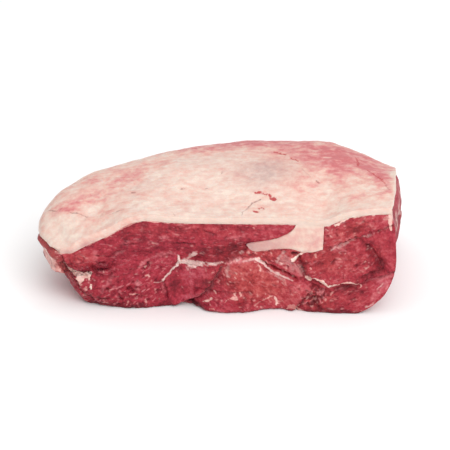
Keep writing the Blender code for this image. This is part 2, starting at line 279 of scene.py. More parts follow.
@dataclass(frozen=True)
class BlockForm:
    """The whole rump's form: where its cut edges, its base and its domed top lie.

    Attributes:
        middle: the block's own middle, which stands at the origin.
        top_front: cut edge of the lean under the fat, along the front, and the three that follow it.
        base_front: outline of the base along the front, and the three that follow it.
        roof_levels: height of the lean's top along the block, as (x, height).
        right_swell: how far the cut right end swells, from front to back.
        right_profile: share of that from base to cap.
        left_profile: how far the left end stands out, from base to cap.
        left_share: share of that from front to back.
    """

    middle: tuple[float, float, float] = (0.5, 39.8, 0.0)
    length: float = 140.0
    depth: float = 80.0
    height: float = 40.0
    crown_rise: float = 2.1
    right_corner_fall: float = 9.0
    right_corner_x: tuple[float, float] = (38.0, 72.0)
    back_roundness: float = 3.4
    left_roundness: float = 2.6
    left_dome_length: float = 46.0
    swell_back: float = 5.0
    swell_front: float = 0.8
    swell_roundness: float = 0.6
    swell_reach: float = 6
    back_corner_from: float = 0.7
    cap_thickness: float = 2.5
    cap_thickness_at_left: float = 4.0
    cap_thickness_at_rim: float = 1.3
    left_thickening_ends_x: float = -35.0
    rim_thinning: float = 0.16
    membrane_gap: float = 0.3
    roof_levels: Points = ((-70, 33), (-45, 34.4), (-20, 38.2), (15, 39.6), (45, 40.6), (70, 41.2))
    top_front: Points = (
        (-61.3, 1, 24.2), (-56.5, 1.2, 24.4), (-52.5, 1.4, 26.6), (-43, 1.6, 31.4), (-33.5, 1.8, 36.8),
        (-29.5, 1.8, 37.7), (-18, 1.8, 36.9), (0, 1.6, 36.6), (26, 1.2, 36.6), (41, 0.9, 36.2),
        (47.5, 0.7, 39.2), (55, 0.5, 40.8), (64.5, 0.4, 41.4),
    )
    top_right: Points = (
        (64.5, 0.4, 41.4), (66.4, 12, 41.8), (68, 30, 41), (69, 44, 38), (68, 57, 14),
    )
    top_back: Points = (
        (-50, 51, 14), (-40, 59.5, 12.5), (-24, 70, 11.5), (4, 79.5, 11), (34, 79, 11),
        (53, 70, 12), (68, 57, 14),
    )
    top_left: Points = (
        (-61.3, 1, 24.2), (-63.4, 4.5, 24.4), (-65.8, 10.6, 24.9), (-68.4, 15.2, 25.2), (-69, 24, 22.8),
        (-64.6, 37, 18.5), (-50, 51, 14),
    )
    base_front: Points = (
        (-50, 5, 0), (-36, 1.2, 0), (-25, 2.8, 0), (-12, 3.8, 0), (0, -2.4, 0),
        (10, -2.2, 0), (20, 1, 0), (30, -1.4, 0), (43, -2.8, 0), (53, -3, 0),
    )
    base_right: Points = ((53, -3, 0), (55.5, 14, 0), (55.5, 36, 0), (50, 54, 0))
    base_back: Points = (
        (-38, 46, 0), (-22, 60, 0), (6, 68, 0), (34, 65, 0), (50, 54, 0),
    )
    base_left: Points = ((-50, 5, 0), (-53.5, 18, 0), (-49, 34, 0), (-38, 46, 0))
    right_swell: Points = ((0, 9), (0.18, 6), (0.33, 7.6), (0.5, 9.4), (0.8, 6.4), (1, 2.5))
    right_profile: Points = (
        (0, 0), (0.12, 0.62), (0.25, 0.92), (0.38, 1), (0.52, 0.92), (0.68, 0.76), (0.84, 0.46), (1, 0),
    )
    left_profile: Points = (
        (0, 0), (0.1, 2.8), (0.25, 3.2), (0.45, 1.8), (0.55, 2), (0.62, 7), (0.78, 4.6), (0.92, 3.2),
        (1, 0),
    )
    left_share: Points = ((0, 0.5), (0.1, 1), (0.3, 1), (0.5, 0.5), (1, 0.4))

    def to_metres(self, points: Array) -> Array:
        """Shift drawn millimetres to the block's own middle and turn them to metres."""
        return (points - np.array(self.middle)) * MILLIMETRE

    def to_drawn(self, points: Array) -> Array:
        """Turn metres in the frame back to millimetres as drawn."""
        return points / MILLIMETRE + np.array(self.middle)

    def lean_top(self, along: Array, across: Array) -> Array:
        """Top of the lean, which rises from its cut front edge to a dome.

        Args:
            along: place from left to right, 0 to 1.
            across: place from front to back, 0 to 1.

        Returns:
            Points of the top.
        """
        from_right, left_height = quarter_round(
            self.left_roundness, self.length, self.height / 2, self.length - self.left_dome_length, 1 - along)
        to_back, back_height = quarter_round(self.back_roundness, self.depth, self.height * 0.75, 0.0, across)
        plan = patch(self.top_front, self.top_right, self.top_back, self.top_left, 1 - from_right, to_back)
        front_edge = smooth_curve(self.top_front, 1 - from_right)[..., 2]
        rim = smooth_curve(self.top_left, to_back)[..., 2] * (1 - to_back**2)
        rim = rim + smooth_curve(self.top_back, 1 - from_right)[..., 2] * to_back**2
        level = np.interp(plan[..., 0], *np.transpose(self.roof_levels))
        roof = level + self.crown_rise * np.sin(np.clip(to_back, 0, 1) * math.pi)
        roof -= self.right_corner_fall * smoothstep(*self.right_corner_x, plan[..., 0]) * to_back**2
        dome = rim + (roof - rim) * left_height * back_height
        inward = smoothstep(0.0, 0.45, to_back)
        outer = front_edge * back_height + rim * (1 - back_height)
        height = outer * (1 - inward) + dome * inward
        return np.stack([plan[..., 0], plan[..., 1], height], -1)

    def cap_thickness_over(self, top: Array, along: Array, across: Array) -> Array:
        """How thick the cap is: thicker at the left, thinner at its rim there and at the back."""
        blend = smoothstep(self.left_thickening_ends_x - 24.0, self.left_thickening_ends_x, top[..., 0])
        thickness = self.cap_thickness_at_left + (self.cap_thickness - self.cap_thickness_at_left) * blend
        from_rim = smoothstep(0.0, self.rim_thinning, np.minimum(along, 1 - across))
        return self.cap_thickness_at_rim + (thickness - self.cap_thickness_at_rim) * from_rim

    def cap_normal(self, top: Array, along: Array, across: Array) -> Array:
        """Outward direction of the lean's top, level along the cut front and right faces."""
        normal = np.cross(np.gradient(top, axis=0), np.gradient(top, axis=1))
        normal[..., 1] *= smoothstep(0.0, 0.12, across)
        normal[..., 0] *= smoothstep(0.0, 0.06, 1 - along)
        return normal / np.linalg.norm(normal, axis=-1, keepdims=True)

    def block(self, along: Array, across: Array, up: Array) -> Array:
        """Surface of the lean without its seams.

        Args:
            along: place from left to right, 0 to 1.
            across: place from front to back, 0 to 1.
            up: place from base to top, 0 to 1.

        Returns:
            Points of the surface.
        """
        top = self.lean_top(along, across)
        base = patch(self.base_front, self.base_right, self.base_back, self.base_left, along, across)
        points = base * (1 - up[..., None]) + top * up[..., None]
        swell = (4 * up * (1 - up)) ** self.swell_roundness
        at_right, at_left = along**self.swell_reach, (1 - along) ** self.swell_reach
        at_back, at_front = across**self.swell_reach, (1 - across) ** self.swell_reach
        points[..., 0] += profile(self.right_swell, across) * profile(self.right_profile, up) * at_right
        points[..., 0] -= profile(self.left_share, across) * profile(self.left_profile, up) * at_left
        fade = smoothstep(self.back_corner_from, 1.0, along)
        fade = 1 - fade * smoothstep(self.back_corner_from, 1.0, across)
        points[..., 1] += swell * (self.swell_back * at_back * fade - self.swell_front * at_front)
        return points

    def front_edge(self, x: Array) -> Array:
        """Height of the lean's top edge along the cut front."""
        return np.interp(x, *np.asarray(self.top_front).T[[0, 2]])

    def front_y(self, x: Array, z: Array) -> Array:
        """Depth of the cut front at a point of it, without its seams."""
        top = np.interp(x, *np.asarray(self.top_front).T[:2])
        low = np.interp(x, *np.asarray(self.base_front).T[:2])
        up = np.clip(z / self.front_edge(x), 0, 1)
        return low * (1 - up) + top * up - self.swell_front * (4 * up * (1 - up)) ** self.swell_roundness


@dataclass(frozen=True)
class PhotoView:
    """The view that the photo was taken from.

    Attributes:
        target: what the camera looks at, as drawn.
        elevation: how far above the horizon it stands, in degrees.
        width: width of the square picture in pixels.
    """

    target: tuple[float, float, float] = (1.7, 36.0, 18.0)
    elevation: float = 28.0
    distance: float = 880.0
    lens: float = 177.12
    sensor: float = 36.0
    width: float = 450.0

    def stand(self) -> Array:
        """Where the camera stands, as drawn."""
        rise = math.radians(self.elevation)
        return np.array(self.target) + np.array([0.0, -math.cos(rise), math.sin(rise)]) * self.distance

    def pixels(self, points: Array) -> Array:
        """Column and row of the picture at which each point shows."""
        rise = math.radians(self.elevation)
        out = points - self.stand()
        ahead = out[:, 1] * math.cos(rise) - out[:, 2] * math.sin(rise)
        down = -out[:, 1] * math.sin(rise) - out[:, 2] * math.cos(rise)
        scale = self.lens / self.sensor * self.width
        return self.width / 2 + np.stack([out[:, 0], down], -1) * (scale / ahead)[:, None]


PHOTO = PhotoView()


# What the cut faces show

@dataclass(frozen=True)
class Seam:
    """A seam between two muscles, a fold or a slit on a cut face.

    Attributes:
        line: where it runs.
        depth: depth of its groove.
        width: half the groove's width.
        step: how far the surface steps down from its left hand side to its right.
        reach: how far from it the step is felt.
        dark: how dark with blood and painted shade its bottom is, 0 to 1.
        past: how far it runs on past its first and last points.
    """

    line: Line
    depth: float
    width: float
    step: float
    reach: float
    dark: float
    past: tuple[float, float]

    def on(self, points: Points) -> "Seam":
        """The same seam along other points, run on past their ends."""
        path = list(points)
        for at, beside, far in ((0, 1, self.past[0]), (-1, -2, self.past[1])):
            if far:
                end, before = np.array(path[at]), np.array(path[beside])
                further = tuple(end + (end - before) / np.linalg.norm(end - before) * far)
                path = [further] + path if at == 0 else path + [further]
        return replace(self, line=Line(tuple(path)), past=NOWHERE)

    def fade(self, along: Array) -> Array:
        """How much of it is left near its ends, where it runs out over two millimetres."""
        length = np.linalg.norm(np.diff(self.line.path(), axis=0), axis=1).sum()
        return smoothstep(0.0, 2.0, np.minimum(along, 1 - along) * length)


@dataclass(frozen=True)
class Muscle:
    """One muscle of the cut front.

    Attributes:
        name: where it lies.
        outline: its border.
        tone: its colour, from 0 for dark crimson to 1 for pale orange red.
        fibre: slope of its fibres in degrees.
        lift: how far it stands out.
        shoulder: how far its rounded border reaches in.
        lumps_and_painted_glints: share of painted highlights (glints) and of finer relief, 0 to 1.
    """

    name: str
    outline: Line
    tone: float
    fibre: float
    lift: float = 0.5
    shoulder: float = 1.5
    # share of painted glints, which are painted highlights, and of the finer relief
    lumps_and_painted_glints: float = 0.4


class Tissue(Enum):
    """What a mark on a cut face is made of; dark and blood marks are partly painted shade,
    pale ones mostly painted highlights.
    """

    FAT = "fat"
    SILVERSKIN = "silverskin"
    DARK = "dark"
    PALE = "pale"
    BLOOD_AND_PAINTED_SHADE = "blood"


@dataclass(frozen=True)
class Mark:
    """A strand, fleck or patch on a cut face.

    Attributes:
        tissue: what it is made of.
        line: its middle line, or its border if that is closed.
        half_widths: half the width of a strand, at places spread evenly from its first point to its
            last, or how far a patch reaches past its border.
        strength: how strongly it shows, 0 to 1.
        rise: how far it stands out.
        soft: how gradually it ends, in millimetres.
    """

    tissue: Tissue
    line: Line
    half_widths: tuple[float, ...]
    strength: float = 1.0
    rise: float = 0.0
    soft: float = 0.4

    def on(self, points: Points) -> "Mark":
        """The same mark along other points."""
        return replace(self, line=replace(self.line, points=points))

    def gap(self, u: Array, v: Array) -> Array:
        """Distance of places from its edge, negative inside it."""
        distance, along = self.line.nearest(u, v)
        if not self.line.closed:
            distance = np.abs(distance)
        return distance - np.interp(along, np.linspace(0, 1, len(self.half_widths)), self.half_widths)


NOWHERE, LAST, BOTH = (0.0, 0.0), (0.0, 2.5), (2.5, 2.5)


def paired(row: tuple[float, ...]) -> Points:
    """The points whose coordinates stand in a row."""
    return tuple(zip(row[::2], row[1::2]))


def outline(*row: float) -> Line:
    """A closed line through the points whose coordinates stand in a row."""
    return Line(paired(row), closed=True)


def seam(row: tuple[float, ...], *looks: float, past: tuple[float, float] = NOWHERE) -> Seam:
    """A seam through a row of coordinates; see Seam for its looks, from depth to dark."""
    return Seam(Line(paired(row)), *looks, past=past)


def strand(tissue: Tissue, row: tuple[float, ...], half_widths: tuple[float, ...], *looks: float) -> Mark:
    """A mark that follows a line through a row of coordinates; see Mark for its looks."""
    return Mark(tissue, Line(paired(row)), half_widths, *looks)


def spot(tissue: Tissue, row: tuple[float, ...], *looks: float) -> Mark:
    """A mark that fills an outline through a row of coordinates; see Mark for its looks."""
    return Mark(tissue, outline(*row), (0.0,), *looks)


def muscle(name: str, border: Points, *looks: float) -> Muscle:
    """A muscle within a border of straight sides; see Muscle for its looks."""
    return Muscle(name, Line(border, closed=True, sharp=True), *looks)


@dataclass(frozen=True)
class Shade:
    """An oval patch in which the meat or the fat changes colour gradually.

    Attributes:
        u: first coordinate of its middle.
        v: second coordinate of its middle.
        length: half its length.
        width: half its width.
        turn: slope of its length in degrees.
        amount: how much it adds.
    """

    u: float
    v: float
    length: float
    width: float
    turn: float
    amount: float

    def at(self, u: Array, v: Array) -> Array:
        """What it adds at each place."""
        turn = math.radians(self.turn)
        along = (u - self.u) * math.cos(turn) + (v - self.v) * math.sin(turn)
        over = (v - self.v) * math.cos(turn) - (u - self.u) * math.sin(turn)
        return self.amount * np.exp(-((along / self.length) ** 2) - (over / self.width) ** 2)


def shades(*rows: tuple[float, ...]) -> tuple[Shade, ...]:
    """Oval patches, each from a row of its values in the order of Shade."""
    return tuple(Shade(*row) for row in rows)


@dataclass(frozen=True)
class Scatter:
    """Short strokes strewn over a muscle along its fibres: pits that hold a shadow, darkened with painted shade,
    or pale flecks.

    Attributes:
        muscle: name of the muscle.
        number: how many there are.
        length: range of half their length.
        width: range of half their width.
        depth: range of how deep each is.
    """

    muscle: str
    number: int
    length: tuple[float, float]
    width: tuple[float, float]
    depth: tuple[float, float]


FAT, SILVER, DARK, PALE, BLOOD_AND_PAINTED_SHADE = Tissue.FAT, Tissue.SILVERSKIN, Tissue.DARK, Tissue.PALE, Tissue.BLOOD_AND_PAINTED_SHADE

# What is given for the cut front stands in pixels of the photo, as (column, row), here and in the
# tables down to PITS; all sizes are in millimetres
FRONT_SEAMS = (
    seam((61, 251, 62.8, 257, 64, 262, 66.5, 268, 70, 273, 74, 279, 79, 286.5, 86, 294, 96, 301), 0.8, 0.5,
        1, 2.4, 0.6, past=BOTH),
    seam((61, 259, 66, 265, 71, 268.5, 77, 271.5, 84, 272.5, 92, 271.5), 0.8, 0.45, 0.8, 2.5, 0.45),
    seam((92, 268, 97, 270, 103, 268.5, 110, 270, 116, 272), 0.6, 0.5, -0.6, 2, 0.3),
    seam((108, 273, 120, 269, 132, 266, 141, 267, 150, 259.5, 158, 256, 168, 254, 177, 255.5), 0.3, 0.8,
        -1.6, 5, 0.1),
    seam((179, 259.5, 188, 261, 200, 261.5, 212, 262, 224, 261, 236, 257, 244, 250, 248, 244), 0.6, 0.6, -2,
        5, 0.3),
    seam((224, 264, 219, 272, 212, 282, 206, 290, 196, 298, 186, 302, 180, 304), 1.7, 0.65, -3, 4.5, 0.75,
        past=LAST),
    seam((258, 259, 264, 262, 272, 265.5, 281, 270, 290, 274.5, 297, 280), 1.6, 0.42, 1.2, 4, 0.3),
    seam((299, 253, 300, 260, 303, 268, 308, 276, 316, 281, 326, 286.5, 336, 286, 346, 284.5, 358, 285.5,
        366, 281, 376, 278, 392, 273), 1.1, 0.7, 1.6, 5, 0.3, past=LAST),
    seam((334, 247, 345, 243, 356, 238, 368, 235.5, 380, 230.5, 393, 226), 0.7, 0.42, -1, 4, 0.15,
        past=LAST),
    seam((366, 242, 371, 251, 378, 260, 384, 265, 380, 271, 370, 274, 360, 279), 1.5, 1.5, -1.5, 4.5, 0.3),
    seam((326, 288, 316, 292, 306, 298, 299, 305, 297, 311), 1, 0.7, -1.2, 4, 0.4, past=LAST),
    seam((162, 281, 165.5, 287, 167, 294, 166.8, 300.2), 0.7, 0.5, 0.35, 3, 0.42),
    seam((190, 288, 204, 289.5, 214, 291, 226, 292.3, 240, 292.8, 254, 292), 0.8, 0.42, -1, 3, 0.35),
    seam((243, 294, 244.5, 300, 242, 308), 0.6, 0.7, 0.6, 2.5, 0.25, past=LAST),
    seam((251, 297, 252, 303, 250, 308), 0.5, 0.5, -0.3, 2, 0.3, past=LAST),
    seam((140, 271, 144, 267.5, 148, 263.5, 151, 260), 1.1, 0.42, 0.8, 2, 0.75),
    seam((329, 265.5, 332, 262.5, 335, 259.5, 338, 257.5), 0.8, 0.38, 0.3, 2, 0.6),
    seam((119, 242.5, 132, 244, 146, 242.5), 0.45, 0.38, 0.3, 2, 0.4),
    seam((166, 243, 180, 243.5, 196, 244.5), 0.7, 0.42, 0.5, 2.5, 0.55),
    seam((103, 256.5, 112, 255, 118, 252, 125, 249), 0.5, 0.38, 0.4, 2, 0.45),
    seam((128, 252.5, 140, 251.5, 152, 252), 0.4, 0.38, 0.3, 2, 0.35),
    seam((98, 264, 102, 262, 107, 261.5), 0.7, 0.42, 0.3, 2, 0.6),
    seam((95, 274, 100, 270.5, 107, 269, 112, 272), 0.6, 0.42, 0.3, 2, 0.4),
    seam((176, 226.5, 183, 230.5, 191, 230), 0.35, 0.35, 0.3, 2, 0.35),
    seam((200, 226, 206, 231.5, 213, 234, 219, 233), 0.4, 0.35, 0.3, 2, 0.4),
    seam((95, 298, 103, 298.5, 112, 298.5), 0.5, 0.5, 0.2, 2, 0.4),
    seam((118.5, 293, 120, 297, 124, 300), 0.7, 0.4, 0.2, 2, 0.6),
    seam((127, 286, 131, 290), 0.7, 0.4, 0.2, 2, 0.6),
    seam((310, 282.5, 316, 285, 322, 288.5), 0.8, 0.5, 0.2, 2, 0.5),
    seam((334, 288, 342, 286.5, 350, 286.5, 358, 287), 0.7, 0.5, 0, 2, 0.5),
    seam((66, 254, 70, 262, 75, 267, 81, 269.5), 0.35, 0.5, 0.2, 2, 0.3),
    seam((371, 305, 379, 298, 386, 290), 0.2, 0.6, 0, 2, 0, past=BOTH),
    seam((344, 297, 356, 296, 368, 292), 0.25, 0.5, -0.3, 2, 0.15),
)

# Where the meat of the front is paler (above 0) or darker: its own tone, with painted shade in folds,
# creases and along the underside and painted light on lit edges; and where it turns from crimson to orange red
TONES_AND_PAINTED_LIGHT = shades(
    (78, 259, 6.5, 3, 10, 0.1), (96, 252, 3, 4, 80, 0.06), (100, 268, 5, 2.2, 0, -0.14),
    (112, 246, 8, 2.5, 22, 0.05), (218, 250, 9.5, 3.6, 8, -0.25), (232, 247, 5, 2.6, 20, -0.08),
    (123, 236, 13, 5, 22, -0.16), (116, 240, 7, 1.6, 22, 0.08), (190, 280, 9, 6, 0, 0.04),
    (150, 262, 14, 5, 0, 0.02), (205, 258, 6, 2, 0, -0.08), (236, 244, 5, 2.5, 25, -0.06),
    (180, 247, 7, 1.6, 0, -0.08), (150, 251, 12, 1.6, 2, -0.1), (235, 238, 6, 1.5, 6, 0.12),
    (268, 231, 8, 2.5, 6, 0.1), (215, 229, 8, 2, 0, 0.04), (176, 284, 2.6, 4, 0, -0.27),
    (200, 274, 5, 3, 20, 0.24), (187, 296, 6, 1.6, 30, 0.24), (190, 283, 2, 2, 30, 0.14),
    (184, 291, 1.4, 1.4, 0, -0.16), (205, 281, 1.6, 1.6, 0, -0.14), (196, 268, 1.5, 1.5, 0, -0.12),
    (184, 272, 3, 2, 60, 0.1), (208, 284, 4, 2, 45, -0.16), (180, 265, 2, 2, 0, -0.1),
    (166, 295, 1.6, 4, 0, -0.06), (163, 263, 5.5, 3, 30, 0.1), (138, 262, 9, 4, 20, 0.05),
    (110, 298, 14, 4, 10, -0.05), (156, 292, 4, 4, 0, 0.06), (100, 288, 4, 3, -50, 0.02),
    (125, 277, 6, 2.5, 20, 0.04), (138, 283, 3, 2, 0, 0.12), (225, 284, 5, 2, -10, -0.16),
    (238, 283, 5, 2.6, -10, -0.08), (247, 270, 6, 4, 0, 0.02), (280, 290, 7, 4, -30, 0.02),
    (250, 285, 16, 9, -10, -0.05), (215, 300, 3, 2.5, 0, -0.12), (205, 306, 4, 2, 0, -0.18),
    (262, 305, 3, 2, 0, -0.02), (240, 304, 2.6, 2.2, 0, -0.2), (252, 303, 1.6, 2.6, 0, -0.1),
    (245, 256, 5, 2, 0, 0.02), (275, 254, 6, 1.6, -10, 0.06), (292, 268, 3.5, 2.5, -40, 0.1),
    (268, 256, 5, 2.5, -20, -0.12), (335, 262, 14, 7, 0, -0.05), (385, 248, 4, 6, 0, -0.05),
    (312, 292, 6, 5, 0, 0.14), (312, 261, 4, 4, 0, -0.05), (303, 266, 1.4, 3, 0, -0.2),
    (330, 258, 5, 2.5, 10, -0.05), (343, 262, 4, 3, 0, 0.08), (368, 258, 4, 3.6, 40, -0.02),
    (345, 275, 6, 2, 10, 0.05), (366, 244, 2.4, 1.6, -50, -0.22), (373, 255, 3.6, 1.7, -55, -0.18),
    (381, 263, 2.6, 1.8, -50, -0.2), (376, 271, 4.6, 1.6, 12, -0.22), (362, 278, 4, 1.4, 25, -0.22),
    (335, 238, 4, 4, 30, 0.1), (357, 228, 3, 1.8, 20, -0.3), (352, 233, 3, 1.5, 30, -0.14),
    (374, 222, 4, 2, 10, 0.08), (372, 230, 5, 1.6, 25, 0.04), (380, 247, 3, 5, 0, 0.05),
    (388, 260, 2, 5, 0, 0.1), (384, 284, 4, 2.6, 40, 0.2), (378, 296, 4, 2.6, 55, 0.14),
    (365, 304, 5, 1.6, 15, 0.04), (333, 303, 6, 2, 0, -0.06), (330, 311, 9, 1, 0, -0.26),
    (316, 296, 5, 3.6, 20, -0.08), (110, 304, 9, 1.4, 0, -0.22), (135, 306, 8, 1.2, 0, -0.2),
    (125, 268, 12, 5, 0, -0.05), (160, 305, 5, 1.2, 0, -0.12), (345, 288, 5, 1.4, 0, -0.22),
    (318, 287, 3, 1.4, -40, -0.22),
)
WARM_SHADES = shades(
    (78, 258, 8, 3.6, 8, 0.6), (200, 230, 40, 4, 0, 0.35), (245, 275, 12, 7, -20, 0.8),
    (265, 290, 14, 7, -10, 0.7), (268, 253, 11, 4, 0, 0.7), (330, 262, 14, 7, 0, 0.65),
    (350, 230, 14, 5, 28, 0.6), (318, 300, 6, 5, 0, 0.5), (350, 296, 12, 6, 0, 0.3),
    (382, 250, 5, 9, 0, 0.25),
)

# Short strands, as (column and row of one end, of the other, half width there and there, strength, rise)
FLECKS = (
    (91, 284.5, 91, 288.8, 0.3, 0.35, 1, 0.3), (85.8, 286.5, 86.5, 290, 0.2, 0.2, 0.7, 0),
    (103.3, 271.8, 104.5, 274.2, 0.25, 0.25, 0.9, 0.2), (65, 263, 67.5, 266, 0.3, 0.2, 0.6, 0),
    (247, 253, 249.3, 251.8, 0.25, 0.25, 0.6, 0), (264, 250.4, 267.8, 250, 0.35, 0.35, 0.85, 0.2),
    (254, 253.2, 255.2, 252.6, 0.3, 0.3, 0.6, 0), (253.2, 227.5, 254, 228.4, 0.25, 0.2, 0.8, 0),
    (338.5, 223.5, 340.5, 220.5, 0.35, 0.3, 0.9, 0), (326.5, 229.5, 328, 230.5, 0.3, 0.3, 0.6, 0),
    (330.5, 236, 331.5, 237, 0.25, 0.25, 0.5, 0), (144.8, 267.3, 146.2, 266, 0.3, 0.25, 0.7, 0),
    (145.5, 275.6, 149, 275.6, 0.35, 0.3, 0.85, 0.2), (152.5, 243, 156.5, 244.2, 0.2, 0.2, 0.5, 0),
    (133.5, 299.2, 137.5, 298, 0.25, 0.2, 0.6, 0), (127.5, 302.5, 128.5, 301.5, 0.25, 0.2, 0.6, 0),
    (145, 299.5, 146.5, 300.8, 0.25, 0.2, 0.6, 0), (303, 303.5, 303.8, 301.5, 0.25, 0.2, 0.6, 0.2),
    (306.5, 298.5, 309, 297.2, 0.25, 0.2, 0.55, 0.2), (311, 292.5, 312, 291, 0.25, 0.2, 0.5, 0.2),
    (315.5, 303.5, 317, 302.5, 0.25, 0.2, 0.6, 0.2), (321, 303.8, 322.5, 302.5, 0.25, 0.2, 0.5, 0.2),
    (325, 300.3, 326.3, 299.2, 0.25, 0.25, 0.5, 0.2), (330.5, 294.5, 332.3, 292.8, 0.28, 0.22, 0.55, 0.2),
    (335, 299.5, 336.5, 299, 0.25, 0.2, 0.5, 0), (311.5, 306.5, 313, 306, 0.25, 0.2, 0.6, 0),
    (298.5, 305.5, 299.5, 304.5, 0.3, 0.2, 0.6, 0), (239.5, 292.5, 240.8, 296, 0.3, 0.35, 0.9, 0.2),
    (234, 293.8, 236, 293.2, 0.3, 0.3, 0.8, 0), (243, 296.5, 246, 300.5, 0.2, 0.2, 0.4, 0),
    (246.8, 305.5, 247.5, 309.5, 0.2, 0.15, 0.6, 0), (254.5, 305.5, 260, 301.8, 0.2, 0.3, 0.6, 0),
    (209.5, 309, 214.5, 309.5, 0.3, 0.25, 0.7, 0), (214, 291, 216, 293.5, 0.25, 0.2, 0.7, 0),
    (235.5, 272.5, 236.5, 274.5, 0.3, 0.25, 0.65, 0), (234.8, 277, 235.5, 278.5, 0.25, 0.2, 0.6, 0),
    (283, 283, 284, 284, 0.25, 0.2, 0.5, 0), (205, 267.5, 206, 271, 0.2, 0.25, 0.5, 0),
    (212, 272.5, 214, 271.5, 0.2, 0.2, 0.45, 0), (218, 282, 219.5, 280.5, 0.2, 0.2, 0.45, 0),
    (364, 262.5, 365.5, 261.5, 0.3, 0.3, 0.55, 0), (366, 268.5, 368, 267.5, 0.25, 0.25, 0.45, 0),
    (315, 254, 316.5, 257.5, 0.2, 0.2, 0.5, 0), (310.5, 268.5, 311.5, 269.5, 0.25, 0.2, 0.5, 0),
)
# Painted glints: pale highlights painted on the meat, in the same columns
GLINTS = (
    (186, 228.5, 190, 227.8, 0.25, 0.2, 0.6, 0), (238, 243.5, 243, 242.5, 0.25, 0.2, 0.5, 0),
    (135.5, 289, 139.5, 289.3, 0.4, 0.3, 0.6, 0), (112.5, 289, 115, 287, 0.45, 0.4, 0.6, 0.2),
    (119.5, 291.5, 121, 293.5, 0.4, 0.3, 0.6, 0.2), (116, 296, 118.5, 297.5, 0.4, 0.3, 0.5, 0),
    (78, 261.8, 79.5, 262, 0.3, 0.25, 0.7, 0), (84.5, 257, 86, 258.5, 0.3, 0.25, 0.5, 0),
)
